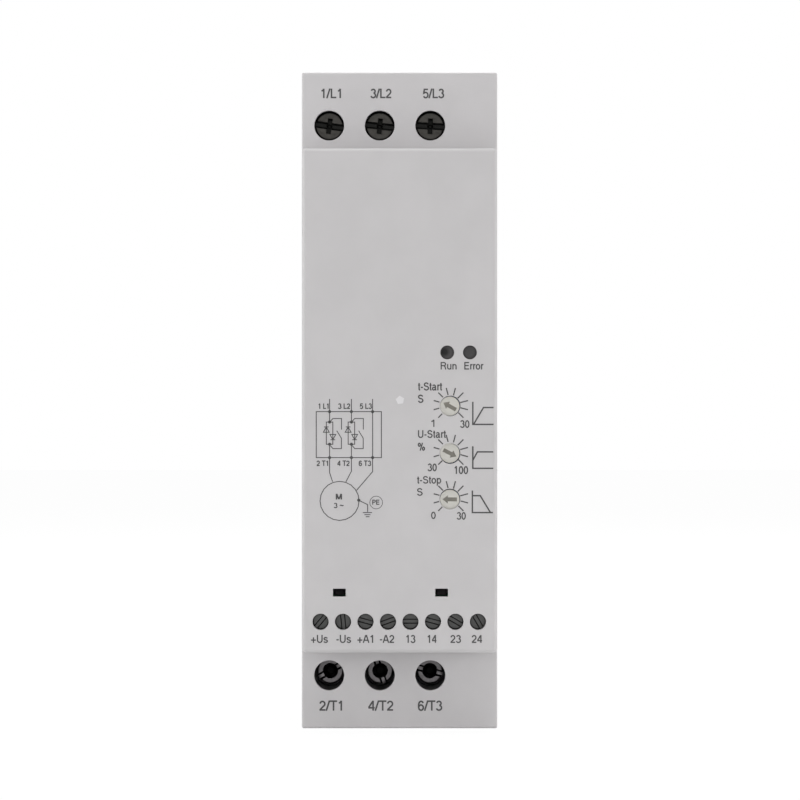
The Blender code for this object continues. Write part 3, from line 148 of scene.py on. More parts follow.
class StarterColours(bpy.types.PropertyGroup):
    """Colours of the finishes"""

    # painted light: the cover and housing are one plastic; the housing's colour is written lighter
    # than the cover's to make up for the shade the raised cover casts on the shoulders
    housing: colour("Housing", "Pale grey moulded plastic", 0.552, 0.539, 0.545)
    cover: colour("Cover", "Pale grey plastic of the cover", 0.527, 0.515, 0.52)
    rear: colour("Rear housing", "Pale grey plastic of the rear", 0.535, 0.525, 0.53)
    carrier: colour("Carrier", "Black plastic of the terminal carriers", 0.012, 0.012, 0.013)
    hook: colour("Hook", "Black plastic of the cover hooks", 0.058, 0.055, 0.056)
    latch: colour("Latch", "Dark plastic of the rail latch", 0.05, 0.05, 0.052)
    block: colour("Control block", "Plastic of the control terminals", 0.03, 0.036, 0.032)
    dial: colour("Dial", "Cream plastic of the dials", 0.60, 0.59, 0.545)
    arrow: colour("Arrow", "Floor of a dial's arrow", 0.255, 0.245, 0.215)
    dial_body: colour("Dial body", "Blue plastic under a dial", 0.04, 0.12, 0.3)
    guide: colour("Light guide", "Smoked plastic of the indicators", 0.067, 0.064, 0.065)
    ink: colour("Ink", "Dark grey print", 0.056, 0.054, 0.055)
    # painted light and shade: the line and load screws are one kind of screw; the line screws' colour
    # is written darker and the load screws' lighter for how each row is lit
    line_screw: colour("Line screw", "Black passivated steel", 0.042, 0.040, 0.037)
    load_screw: colour("Load screw", "Dark passivated steel", 0.205, 0.195, 0.20)
    control_screw: colour("Control screw", "Dark passivated steel", 0.070, 0.070, 0.069)
    # painted shade: the recess and slot colours stand for the shade deep in the screws' recesses and
    # slots
    recess: colour("Recess", "Dull steel in the load screws", 0.012, 0.012, 0.012)
    slot: colour("Slot", "Dull steel in the other slots", 0.022, 0.022, 0.021)
    scar: colour("Gate scar", "Pale mark where the mould was filled", 0.69, 0.68, 0.69)
    cage: colour("Cage", "Zinc plated steel of the cages", 0.50, 0.50, 0.47)
    spring: colour("Spring", "Spring steel", 0.40, 0.40, 0.42)
    bar: colour("Bar", "Tinned copper", 0.62, 0.56, 0.50)
    sink: colour("Heat sink", "Extruded aluminium", 0.70, 0.71, 0.73)
    board: colour("Board", "Green laminate", 0.02, 0.16, 0.06)
    module: colour("Module", "Dark epoxy", 0.03, 0.03, 0.035)
    relay: colour("Relay", "Black relay case", 0.02, 0.02, 0.025)
    iron: colour("Core", "Varnished transformer core", 0.09, 0.085, 0.08)
    sleeve: colour("Sleeve", "Capacitor sleeve", 0.01, 0.015, 0.05)
    floor: colour("Floor", "Pale floor", 0.92, 0.92, 0.92)


def sizes():
    return bpy.context.scene.starter_sizes


def colours():
    return bpy.context.scene.starter_colours


# Modelling helpers


def deselect():
    if bpy.context.mode != "OBJECT":
        bpy.ops.object.mode_set(mode="OBJECT")
    bpy.ops.object.select_all(action="DESELECT")


def take(*objs):
    """Selects only these objects, the first of them active."""
    deselect()
    for obj in objs:
        obj.select_set(True)
    bpy.context.view_layer.objects.active = objs[0]


def pick(obj, kind, wanted):
    """Opens a piece for editing with only the parts selected whose points are wanted."""
    take(obj)
    kinds = ("VERT", "EDGE", "FACE")
    bpy.context.tool_settings.mesh_select_mode = [kind == item for item in kinds]
    mesh = obj.data
    groups = (mesh.vertices, mesh.edges, mesh.polygons)
    for group in groups:
        group.foreach_set("select", [False] * len(group))
    for item in groups[kinds.index(kind)]:
        corners = [item.index] if kind == "VERT" else item.vertices
        item.select = bool(wanted([mesh.vertices[i].co for i in corners]))
    bpy.ops.object.mode_set(mode="EDIT")


def whole(obj):
    pick(obj, "VERT", lambda points: True)


def named(name):
    """The active object, with this name on it and on its mesh."""
    obj = bpy.context.active_object
    obj.name = obj.data.name = name
    return obj


def settle(name):
    """Names the new object and puts its place into its mesh."""
    obj = named(name)
    bpy.ops.object.transform_apply(location=True, rotation=True, scale=True)
    return obj


def drop(obj):
    bpy.data.objects.remove(obj, do_unlink=True)


def extrude(shift):
    bpy.ops.mesh.extrude_region_move(TRANSFORM_OT_translate={"value": shift})


def face_outwards(obj):
    whole(obj)
    bpy.ops.mesh.normals_make_consistent(inside=False)
    deselect()


def modify(obj, kind, **settings):
    """Adds a modifier to a piece and applies it."""
    take(obj)
    bpy.ops.object.modifier_add(type=kind)
    modifier = obj.modifiers[-1]
    for key, value in settings.items():
        setattr(modifier, key, value)
    bpy.ops.object.modifier_apply(modifier=modifier.name)


def box(name, xs, ys, zs):
    """A block between two ends along each axis."""
    ends = [sorted(pair) for pair in (xs, ys, zs)]
    middle = [(low + high) / 2 for low, high in ends]
    reach = [high - low for low, high in ends]
    bpy.ops.mesh.primitive_cube_add(size=1.0, location=middle, scale=reach)
    return settle(name)


def span(middle, size):
    return (middle - size / 2, middle + size / 2)


def rod(diameter, ys, x, z, facets=None):
    """A round cutter along Y."""
    low, high = sorted(ys)
    bpy.ops.mesh.primitive_cylinder_add(
        vertices=facets or sizes().facets,
        radius=diameter / 2,
        depth=high - low,
        location=(x, (low + high) / 2, z),
        rotation=(math.pi / 2, 0.0, 0.0),
    )
    return settle("cutter")


def turned(name, rings, facets=None):
    """A piece turned about the Y axis, through (radius, y) rings from front to rear."""
    radius, start = rings[0]
    bpy.ops.mesh.primitive_circle_add(
        vertices=facets or sizes().facets,
        radius=radius,
        fill_type="NGON",
        location=(0.0, start, 0.0),
        rotation=(math.pi / 2, 0.0, 0.0),
    )
    obj = settle(name)
    pick(obj, "FACE", lambda points: True)
    for (before, start), (after, end) in zip(rings, rings[1:]):
        extrude((0.0, end - start, 0.0))
        grow = after / before
        bpy.ops.transform.resize(value=(grow, 1.0, grow), center_override=(0.0, end, 0.0))
    face_outwards(obj)
    return obj


def joined(name, objs):
    take(*objs)
    bpy.ops.object.join()
    return named(name)


def carve(target, cutters, operation="DIFFERENCE"):
    """Cuts these pieces out of the target, or joins them on."""
    cutter = joined("cutter", cutters)
    modify(target, "BOOLEAN", operation=operation, solver="EXACT", object=cutter)
    drop(cutter)


def add_on(target, parts):
    for part in parts:
        carve(target, [part], "UNION")


def round_front(obj, radius, front, segments):
    """Rounds the edges of the front face and the four that run back from it."""
    pick(obj, "EDGE", lambda points: min(point.y for point in points) < front + 1e-6)
    bpy.ops.mesh.bevel(offset=radius, segments=segments, profile=0.5, affect="EDGES")
    deselect()


def soften(obj, radius, segments=2):
    """Rounds what is still sharp, and shades the piece with its flat faces kept flat."""
    if radius:
        sharp = math.radians(40.0)
        modify(obj, "BEVEL", limit_method="ANGLE", angle_limit=sharp, width=radius, segments=segments)
    take(obj)
    bpy.ops.object.shade_smooth_by_angle(angle=SMOOTH)
    modify(obj, "WEIGHTED_NORMAL", keep_sharp=True)


def fit(obj, xs, ys, zs):
    """Stretches and moves a piece until its box has these ends."""
    for axis, (low, high) in enumerate((xs, ys, zs)):
        places = [vert.co[axis] for vert in obj.data.vertices]
        grow = (high - low) / (max(places) - min(places))
        obj.scale[axis] = grow
        obj.location[axis] = low - min(places) * grow
    take(obj)
    return settle(obj.name)


def finish_piece(obj, body, slot, material, *nodes):
    """Gives a piece its finish and hands it to the body that carries it."""
    obj.data.materials.clear()
    obj.data.materials.append(material)
    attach(obj, body)
    if nodes:
        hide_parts(*nodes)
    return obj


def body_of(node):
    return NODES[node]["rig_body"]


def refined(node, suffix, slot, material, radius, segments=2):
    """A copy of a solid with clean faces and rounded edges, which stands for it."""
    take(NODES[node])
    bpy.ops.object.duplicate()
    obj = named(f"{node}_{suffix}")
    del obj["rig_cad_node"]
    whole(obj)
    bpy.ops.mesh.customdata_custom_splitnormals_clear()
    bpy.ops.mesh.remove_doubles(threshold=1e-6)
    bpy.ops.mesh.dissolve_limited(angle_limit=math.radians(1.0))
    face_outwards(obj)
    soften(obj, radius, segments)
    return finish_piece(obj, body_of(node), slot, material, node)


def middle_of(node):
    low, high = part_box(node)
    return (low + high) / 2


def front_of(node):
    """The middle of a node's front face."""
    place = middle_of(node)
    place.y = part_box(node)[0].y
    return place


def put_at(node, pattern, name, slot, material, turn=0.0):
    """A copy of a pattern on a node's front, turned about Y in degrees, which stands for the node."""
    take(pattern)
    bpy.ops.object.duplicate()
    piece = bpy.context.active_object
    piece.location = front_of(node)
    piece.rotation_euler.y = math.radians(turn)
    return finish_piece(settle(name), body_of(node), slot, material, node)


# Finishes


def feed(node, values):
    """Sets a node's inputs, or links them where the value is another node's output."""
    for key, value in values.items():
        if isinstance(value, bpy.types.NodeSocket):
            node.id_data.links.new(value, node.inputs[key])
        else:
            node.inputs[key].default_value = value
    return node


def add_node(tree, kind, values, **settings):
    node = tree.nodes.new(f"ShaderNode{kind}")
    for key, value in settings.items():
        setattr(node, key, value)
    return feed(node, values)


def new_finish(name):
    material = bpy.data.materials.new(name)
    material.use_nodes = True
    tree = material.node_tree
    place = add_node(tree, "TexCoord", {}).outputs["Object"]
    return material, tree, tree.nodes["Principled BSDF"], place


def add_noise(tree, place, size, detail=2.0, stretch=None):
    """Noise whose patches are about this size, in metres."""
    if stretch:
        place = add_node(tree, "Mapping", {"Vector": place, "Scale": stretch}).outputs["Vector"]
    values = {"Vector": place, "Scale": 1.0 / size, "Detail": detail}
    return add_node(tree, "TexNoise", values).outputs["Fac"]


def add_shades(tree, noise, base, change, reach):
    """A darker shade, the colour itself and a lighter one, over the middle of a noise."""
    ramp = add_node(tree, "ValToRGB", {"Fac": noise})
    elements = ramp.color_ramp.elements
    elements.new(0.5)
    for element, side in zip(elements, (-1, 0, 1)):
        element.position = 0.5 + side * reach
        element.color = (*[min(1.0, part * (1.0 + side * change)) for part in base], 1.0)
    return ramp.outputs["Color"]


def add_range(tree, value, low, high):
    """The middle of a noise, 0.3 to 0.7, spread from low to high."""
    ends = {"From Min": 0.3, "From Max": 0.7, "To Min": low, "To Max": high}
    return add_node(tree, "MapRange", {"Value": value, **ends}).outputs["Result"]


def add_bump(tree, shader, height, depth):
    bump = add_node(tree, "Bump", {"Height": height, "Distance": depth})
    feed(shader, {"Normal": bump.outputs["Normal"]})


def moulded(name, base, roughness, grain=0.22, depth=0.006, mottle=0.02):
    """Moulded plastic: clouded colour, a fine spark-eroded grain and uneven gloss."""
    material, tree, shader, place = new_finish(name)
    clouds = add_noise(tree, place, 9.0 * MM, 4.0)
    gloss = add_noise(tree, place, 2.5 * MM, 3.0)
    shade = add_shades(tree, clouds, base, mottle, 0.15)
    uneven = add_range(tree, gloss, roughness - 0.05, roughness + 0.05)
    feed(shader, {"Base Color": shade, "Roughness": uneven})
    add_bump(tree, shader, add_noise(tree, place, grain * MM), depth * MM)
    return material


def metallic(name, base, roughness, size, stretch=None, change=0.18, depth=0.003):
    """Plated or drawn metal: streaks or patches in its colour, gloss and surface."""
    material, tree, shader, place = new_finish(name)
    patches = add_noise(tree, place, size * MM, 4.0, stretch)
    shade = add_shades(tree, patches, base, change, 0.2)
    uneven = add_range(tree, patches, roughness - 0.08, roughness + 0.1)
    feed(shader, {"Metallic": 1.0, "Base Color": shade, "Roughness": uneven})
    add_bump(tree, shader, add_noise(tree, place, size / 5 * MM, stretch=stretch), depth * MM)
    return material


def ink():
    """Printed ink: dark grey, a little uneven and duller than the plastic."""
    found = bpy.data.materials.get("printed_ink")
    return found or moulded("printed_ink", colours().ink, 0.55, 0.12, 0.003, 0.12)


def laminate():
    """Circuit board: green solder mask over straight copper tracks."""
    material, tree, shader, place = new_finish("board_laminate")
    flat = add_node(tree, "Mapping", {"Vector": place, "Rotation": (math.pi / 2, 0.0, 0.0)})
    base = colours().board
    shades = {
        "Color1": (*base, 1.0),
        "Color2": (*[part * 0.8 for part in base], 1.0),
        "Mortar": (*[min(1.0, part * 1.7 + 0.01) for part in base], 1.0),
    }
    pattern = {"Vector": flat.outputs["Vector"], "Scale": 190.0, "Mortar Size": 0.04}
    tracks = add_node(tree, "TexBrick", {**shades, **pattern})
    feed(shader, {"Base Color": tracks.outputs["Color"], "Roughness": 0.35})
    add_bump(tree, shader, add_noise(tree, place, 0.4 * MM), 0.008 * MM)
    return material


def smoked(name, spot, dark):
    """Smoked clear plastic with a painted shadow: its colour fades to black round a spot."""
    material = moulded(name, colours().guide, 0.6, 0.5, 0.002, 0.2)
    tree = material.node_tree
    shader = tree.nodes["Principled BSDF"]
    place = tree.nodes["Texture Coordinate"].outputs["Object"]
    # painted shade: the colour fades to black round the spot, as strongly as dark says
    gap = add_node(tree, "VectorMath", {0: place, 1: spot}, operation="DISTANCE")
    ends = {"From Min": 0.5 * MM, "From Max": 1.4 * MM, "To Min": dark, "To Max": 0.0}
    fade = add_node(tree, "MapRange", {"Value": gap.outputs["Value"], **ends})
    plain = shader.inputs["Base Color"].links[0].from_socket
    black = (0.004, 0.004, 0.004, 1.0)
    values = {0: fade.outputs["Result"], 6: plain, 7: black}
    blend = add_node(tree, "Mix", values, data_type="RGBA")
    feed(shader, {"Base Color": blend.outputs[2], "Specular IOR Level": 0.3})
    return material


# Pieces


class STARTER_OT_front_cover(bpy.types.Operator):
    """Raised middle block with its screw, dial, indicator and hook openings"""

    bl_idname = "starter.front_cover"
    bl_label = "Front cover"

    def execute(self, context):
        own = sizes()
        low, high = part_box("front_cover")
        wall = 1.5 * MM
        wire = 3.4 * MM
        wire_y = -99.4 * MM
        front = cover_front()
        inner = low.y + wall
        cover = box("cover_moulding", (low.x, high.x), (front, high.y), (low.z, high.z))
        round_front(cover, own.cover_radius, front, 8)
        inside_xs = (low.x + wall, high.x - wall)
        inside_zs = (low.z + wall, high.z - wall)
        inside = box("inside", inside_xs, (inner, high.y + MM), inside_zs)
        round_front(inside, 0.5 * MM, inner, 3)
        through = (front - MM, inner + MM)
        cutters = []
        for i in CONTROLS:
            screw = middle_of(f"control_screw_{i}")
            cutters.append(rod(own.control_hole, through, screw.x, screw.z))
            end = (low.z - MM, low.z + 2 * wall)
            cutters.append(box("cutter", span(screw.x, wire), span(wire_y, wire), end))
        carve(cover, [inside])
        carve(cover, cutters)
        soften(cover, own.lip, 3)
        fine = []
        for name, side in zip(DIALS, DIAL_GAPS):
            dial = middle_of(f"{name}_dial")
            x = dial.x + own.dial_shift * math.cos(math.radians(side))
            z = dial.z + own.dial_shift * math.sin(math.radians(side))
            fine.append(rod(own.dial_hole, through, x, z))
        for name in GUIDES:
            guide = middle_of(f"{name}_light_guide")
            fine.append(rod(own.indicator_hole, through, guide.x, guide.z))
        for x in HOOK_XS:
            fine.append(box("cutter", span(x, 2.9 * MM), through, span(HOOK_Z, 1.8 * MM)))
        carve(cover, fine)
        soften(cover, 0.03 * MM)
        plastic = moulded("cover_plastic", colours().cover, 0.5)
        finish_piece(cover, HOUSING, "housing", plastic, "front_cover")
        pale = moulded("gate_scar_plastic", colours().scar, 0.45, 0.3, 0.01, 0.05)
        finish_piece(gate_scar(front), HOUSING, "housing", pale)
        return {"FINISHED"}


def gate_scar(front):
    """The low five-sided boss left where the mould was filled."""
    bpy.ops.mesh.primitive_cylinder_add(
        vertices=5,
        radius=MM,
        depth=0.1 * MM,
        location=(0.11 * MM, front + 0.032 * MM, 0.08 * MM),
        rotation=(math.pi / 2, math.radians(-6.0), 0.0),
    )
    scar = settle("gate_scar")
    pick(scar, "FACE", lambda points: all(point.y < front for point in points))
    bpy.ops.mesh.inset(thickness=0.3 * MM)
    bpy.ops.transform.translate(value=(0.0, 0.012 * MM, 0.0))
    deselect()
    soften(scar, 0.0)
    return scar


class STARTER_OT_front_housing(bpy.types.Operator):
    """Front shell with the two terminal shoulders, their screw holes and wire entries"""

    bl_idname = "starter.front_housing"
    bl_label = "Front housing"

    def execute(self, context):
        own = sizes()
        low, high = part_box("front_housing")
        wall = 1.8 * MM
        front = shoulder_front()
        inner = SHOULDERS + wall
        shell = box("front_shell", (low.x, high.x), (front, high.y), (low.z, high.z))
        round_front(shell, own.shell_radius, front, 6)
        side = high.x - wall
        hollow_zs = (low.z + wall, high.z - wall)
        carve(shell, [box("cutter", (-side, side), (inner, high.y + MM), hollow_zs)])
        opening = (front - MM, inner + 0.5 * MM)
        cutters = [box("cutter", (-side, side), opening, span(0.0, 111.4 * MM))]
        for row, end in (("line", 1), ("load", -1)):
            for i in POLES:
                screw = middle_of(f"{row}_screw_{i}")
                cutters.append(rod(own.screw_hole, (front - MM, inner + MM), screw.x, screw.z))
                cutters.append(wire_funnel(screw.x, end, high.z, wall))
        snap_ys = (-62.5 * MM, -59.4 * MM)
        for x in (-1, 1):
            xs = (x * (side - MM), x * (high.x + MM))
            for z in (-40.0 * MM, 40.0 * MM):
                cutters.append(box("cutter", xs, snap_ys, span(z, 7.6 * MM)))
        carve(shell, cutters)
        rail_ys = (-93.5 * MM, -92.0 * MM)
        rails = [
            box("rail", (x * 18.9 * MM, x * 21.2 * MM), rail_ys, span(0.0, 108.8 * MM))
            for x in (-1, 1)
        ]
        rails.append(box("bar", span(0.0, 42.4 * MM), rail_ys, span(HOOK_Z, 4.0 * MM)))
        add_on(shell, rails)
        soften(shell, own.lip, 3)
        plastic = moulded("housing_plastic", colours().housing, 0.5)
        finish_piece(shell, HOUSING, "housing", plastic, "front_housing")
        black = moulded("hook_plastic", colours().hook, 0.4, 0.5, 0.02, 0.3)
        for i, x in enumerate(HOOK_XS, 1):
            hook = cover_hook(f"cover_hook_{i}", x, rail_ys[0] - 0.02 * MM)
            soften(hook, 0.08 * MM)
            finish_piece(hook, HOUSING, "housing", black, "front_housing")
        return {"FINISHED"}


def wire_funnel(x, end, reach, wall):
    """Cutter for one wire entry, wider at its mouth."""
    throat = 8.0 * MM
    ys = (-67.2 * MM, -58.4 * MM)
    neck = end * (reach - MM)
    outside = end * (reach + MM)
    straight = box("cutter", span(x, throat), ys, (end * (reach - wall - MM), neck))
    flare = box("cutter", span(x, throat), ys, (neck, outside))
    pick(flare, "FACE", lambda points: all(abs(point.z - outside) < 1e-6 for point in points))
    grow = 2.8 * MM
    value = (1.0 + grow / throat, 1.0 + grow / (ys[1] - ys[0]), 1.0)
    bpy.ops.transform.resize(value=value, center_override=(x, sum(ys) / 2, outside))
    deselect()
    carve(straight, [flare], "UNION")
    return straight


def cover_hook(name, x, root):
    """A post with a sloping nose that holds the cover."""
    front = -108.7 * MM
    zs = span(HOOK_Z, 1.2 * MM)
    hook = box(name, span(x, 2.3 * MM), (front, root), zs)
    pick(hook, "VERT", lambda points: points[0].y < front + 1e-6 and points[0].z > HOOK_Z)
    bpy.ops.transform.translate(value=(0.0, 0.9 * MM, 0.0))
    deselect()
    return hook


class STARTER_OT_rear_housing(bpy.types.Operator):
    """Rear shell with the rail notch, the latch channel and the vents"""

    bl_idname = "starter.rear_housing"
    bl_label = "Rear housing"

    def execute(self, context):
        plastic = moulded("rear_housing_plastic", colours().rear, 0.54, 0.3, 0.009)
        rear = refined("rear_housing", "moulding", "housing", plastic, 0.3 * MM, 3)
        fit(rear, *zip(*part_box("rear_housing")))
        return {"FINISHED"}


class STARTER_OT_rail_latch(bpy.types.Operator):
    """Sliding foot that locks under the rail, and its spring"""

    bl_idname = "starter.rail_latch"
    bl_label = "Rail latch and spring"

    def execute(self, context):
        plastic = moulded("latch_plastic", colours().latch, 0.45, 0.3, 0.008, 0.08)
        refined("rail_latch", "slider", "latch", plastic, 0.25 * MM, 3)
        steel = metallic("spring_steel", colours().spring, 0.3, 0.8)
        low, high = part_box("latch_spring")
        middle = (low.y + high.y) / 2
        spring = coil(low, high, middle)
        finish_piece(spring, body_of("latch_spring"), "spring_steel", steel, "latch_spring")
        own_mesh(spring)
        return {"FINISHED"}


def coil(low, high, middle):
    """A compression spring: a wire circle turned up its helix round a middle along Y."""
    wire = 0.25 * MM
    radius = (high.x - low.x) / 2 - wire
    turns = 7
    bpy.ops.mesh.primitive_circle_add(
        vertices=12,
        radius=wire,
        fill_type="NGON",
        location=(radius, middle, low.z + wire),
        rotation=(math.pi / 2, 0.0, 0.0),
    )
    spring = settle("spring_coil")
    steps = 24 * turns
    rise = (high.z - low.z - 2 * wire) / steps
    turn = {"value": math.tau * turns / steps, "orient_axis": "Z"}
    pick(spring, "FACE", lambda points: True)
    for _ in range(steps):
        extrude((0.0, 0.0, rise))
        bpy.ops.transform.rotate(**turn, center_override=(0.0, middle, 0.0))
    face_outwards(spring)
    soften(spring, 0.0)
    return spring


class STARTER_OT_terminal_carriers(bpy.types.Operator):
    """Black mouldings that hold the two rows of main clamps"""

    bl_idname = "starter.terminal_carriers"
    bl_label = "Terminal carriers"

    def execute(self, context):
        plastic = moulded("carrier_plastic", colours().carrier, 0.42, 0.3, 0.006, 0.15)
        for row in ("line", "load"):
            refined(f"{row}_terminal_carrier", "moulding", "carrier", plastic, 0.12 * MM)
        return {"FINISHED"}


class STARTER_OT_main_screws(bpy.types.Operator):
    """Six main clamp screws with a slot and a cross recess"""

    bl_idname = "starter.main_screws"
    bl_label = "Main screws"

    def execute(self, context):
        own = colours()
        # painted light and shade: both rows are the same screw, given a darker colour in the line row
        # and a lighter one in the load row for how they are lit
        rows = (
            ("line", LINE_TURNS, own.line_screw, own.slot, sizes().line_recess, 0.3 * MM),
            ("load", LOAD_TURNS, own.load_screw, own.recess, sizes().load_recess, MM),
        )
        for row, turns, shade, dark, recess, floor in rows:
            steel = metallic(f"{row}_screw_steel", shade, 0.4, 1.2, change=0.4)
            # painted shade: a near-black second material stands for the shade on the slot walls and
            # in the recess of each screw
            painted_shade = metallic(f"{row}_recess_painted_shade", dark, 0.6, 0.6, change=0.3)
            low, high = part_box(f"{row}_screw_1")
            pattern = main_screw((high.x - low.x) / 2, high.y - low.y, recess)
            for i, turn in zip(POLES, turns):
                node = f"{row}_screw_{i}"
                screw = put_at(node, pattern, f"{row}_clamp_screw_{i}", "screw", steel, turn)
                paint_recess_shade(screw, painted_shade, front_of(node), floor)
            drop(pattern)
        return {"FINISHED"}


def main_screw(radius, reach, recess):
    """A combined-recess screw whose head starts at y = 0, with its thread."""
    head = 3.2 * MM
    shank = 2.0 * MM
    rings = [
        (radius * 0.86, 0.0),
        (radius * 0.94, 0.1 * MM),
        (radius * 0.985, 0.3 * MM),
        (radius, 0.6 * MM),
        (radius, head - 0.1 * MM),
        (radius - 0.1 * MM, head),
        (shank, head),
        *thread_rings(shank, head, reach),
    ]
    screw = turned("screw", rings)
    carve(screw, [slot_cutter(radius, sizes().main_slot, 0.45, 0.6 * MM)])
    cross = box("cutter", span(0.0, 1.2 * MM), (-MM, 1.8 * MM), span(0.0, 3.9 * MM))
    taper(cross, (0.8, 1.0, 0.75))
    carve(screw, [cross])
    deep = recess / 2
    flare = [(deep * 1.04, -0.5 * MM), (deep, 0.1 * MM), (deep * 0.85, 1.5 * MM)]
    carve(screw, [turned("cutter", [*flare, (deep * 0.4, 2.2 * MM)])])
    soften(screw, 0.04 * MM)
    return screw


def slot_cutter(radius, width, share, depth):
    """A slot along X whose floor is narrower than its mouth."""
    cutter = box("cutter", span(0.0, 3.0 * radius), (-depth, depth), span(0.0, width * (2 - share)))
    taper(cutter, (1.0, 1.0, share / (2 - share)))
    return cutter


def paint_recess_shade(screw, painted_shade, place, floor):
    """Paints shade on the walls of the slot and on what lies deeper than its floor, as a second,
    darker material.
    """
    screw.data.materials.append(painted_shade)
    for face in screw.data.polygons:
        out = face.center - place
        inward = out.xz.dot(face.normal.xz) < 1e-6 and 0.05 * MM < out.y < 2.5 * MM
        if inward and (face.normal.y > -0.8 or out.y > floor):
            face.material_index = 1


def taper(cutter, shares):
    """Narrows the rear face of a cutter."""
    rear = max(vert.co.y for vert in cutter.data.vertices)
    pick(cutter, "FACE", lambda points: all(point.y > rear - 1e-6 for point in points))
    bpy.ops.transform.resize(value=shares, center_override=(0.0, rear, 0.0))
    deselect()


def thread_rings(shank, start, end):
    """Rings of a thread's crests and roots, from under the head to the tip."""
    pitch = sizes().thread
    depth = 0.18 * MM
    count = int((end - start - 2 * MM) / pitch)
    rings = [(shank - depth, start + 0.4 * MM)]
    for i in range(count):
        crest = start + 0.8 * MM + i * pitch
        rings += [(shank, crest), (shank, crest + pitch / 6), (shank - depth, crest + pitch / 2)]
    rings.append((shank - depth, end - 0.5 * MM))
    rings.append((shank * 0.6, end))
    return rings


class STARTER_OT_control_screws(bpy.types.Operator):
    """Eight slotted control clamp screws"""

    bl_idname = "starter.control_screws"
    bl_label = "Control screws"

    def execute(self, context):
        steel = metallic("control_screw_steel", colours().control_screw, 0.42, 1.0)
        # painted shade: a darker second material stands for the shade on the walls of each slot
        painted_shade = metallic("control_slot_painted_shade", colours().slot, 0.6, 0.6, change=0.3)
        low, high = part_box("control_screw_5")
        pattern = control_screw((high.x - low.x) / 2, high.y - low.y)
        for i, turn in zip(CONTROLS, CONTROL_TURNS):
            node, name = f"control_screw_{i}", f"control_clamp_screw_{i}"
            screw = put_at(node, pattern, name, "control_screw", steel, turn)
            paint_recess_shade(screw, painted_shade, front_of(node), MM)
        drop(pattern)
        return {"FINISHED"}


def control_screw(radius, reach):
    head = 1.5 * MM
    low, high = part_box("control_cage_1")
    shank = (high.x - low.x - 1.2 * MM) / 2
    rings = [
        (radius * 0.82, 0.0),
        (radius * 0.94, 0.08 * MM),
        (radius, 0.3 * MM),
        (radius, head),
        (shank, head),
        (shank, reach - 0.4 * MM),
        (shank * 0.7, reach),
    ]
    screw = turned("screw", rings, 48)
    carve(screw, [slot_cutter(radius, sizes().control_slot, 0.65, 0.45 * MM)])
    soften(screw, 0.04 * MM)
    return screw


class STARTER_OT_control_block(bpy.types.Operator):
    """Terminal block behind the control screws"""

    bl_idname = "starter.control_block"
    bl_label = "Control block"

    def execute(self, context):
        plastic = moulded("control_block_plastic", colours().block, 0.45, 0.3, 0.006, 0.12)
        refined("control_terminal_block", "moulding", "control_block", plastic, 0.05 * MM)
        return {"FINISHED"}


class STARTER_OT_dials(bpy.types.Operator):
    """Three setting dials with a sunk arrow, and the bodies under them"""

    bl_idname = "starter.dials"
    bl_label = "Setting dials"

    def execute(self, context):
        cream = moulded("dial_plastic", colours().dial, 0.48, 0.18, 0.004, 0.02)
        grey = moulded("dial_arrow_floor", colours().arrow, 0.6, 0.18, 0.006, 0.06)
        blue = moulded("dial_body_plastic", colours().dial_body, 0.45, 0.3, 0.006, 0.06)
        pattern = dial_rotor()
        for name, angle in zip(DIALS, DIAL_ANGLES):
            node = f"{name}_dial"
            place = front_of(node)
            dial = put_at(node, pattern, f"{name}_rotor", "dial", cream, -angle)
            dial.data.materials.append(grey)
            floor = place.y + 0.4 * MM
            for face in dial.data.polygons:
                sunk = floor < face.center.y < floor + 0.2 * MM
                if sunk and (face.center - place).xz.length < 1.7 * MM:
                    face.material_index = 1
            refined(f"{name}_dial_body", "case", "dial_body", blue, 0.3 * MM)
        drop(pattern)
        return {"FINISHED"}


def dial_rotor():
    """A rotor whose front is at y = 0, with an arrow sunk in it towards +X."""
    radius = 2.22 * MM
    rings = [
        (radius - 0.04 * MM, 0.0),
        (radius, 0.05 * MM),
        (radius, 2.2 * MM),
        (1.0 * MM, 2.2 * MM),
        (1.0 * MM, 5.2 * MM),
    ]
    rotor = turned("rotor", rings)
    depth = (-MM, 0.5 * MM)
    shaft = box("cutter", (-1.62 * MM, 0.6 * MM), depth, span(0.0, 0.88 * MM))
    bpy.ops.mesh.primitive_cylinder_add(vertices=3, rotation=(math.pi / 2, math.pi / 2, 0.0))
    head = fit(settle("head"), (0.45 * MM, 1.66 * MM), depth, span(0.0, 1.85 * MM))
    carve(shaft, [head], "UNION")
    carve(rotor, [shaft])
    soften(rotor, 0.03 * MM)
    return rotor


class STARTER_OT_light_guides(bpy.types.Operator):
    """Two smoked light guides over the indicators"""

    bl_idname = "starter.light_guides"
    bl_label = "Light guides"

    def execute(self, context):
        low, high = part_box("run_light_guide")
        reach = high.y - low.y
        radius = 1.57 * MM
        rings = [
            (radius * 0.30, 0.0),
            (radius * 0.62, 0.02 * MM),
            (radius * 0.90, 0.07 * MM),
            (radius, 0.2 * MM),
            (radius, reach - 1.8 * MM),
            (2.0 * MM, reach - 1.7 * MM),
            (2.0 * MM, reach),
        ]
        pattern = turned("guide", rings, 48)
        soften(pattern, 0.04 * MM)
        # painted shade: how strongly the shadow spot is painted on each guide
        for name, dark in zip(GUIDES, (1.0, 0.1)):
            node = f"{name}_light_guide"
            spot = front_of(node) + Vector((-0.6 * MM, 0.0, 0.1 * MM))
            plastic = smoked(f"{name}_smoked_plastic", spot, dark)
            put_at(node, pattern, f"{name}_light_pipe", "light_guide", plastic)
        drop(pattern)
        return {"FINISHED"}


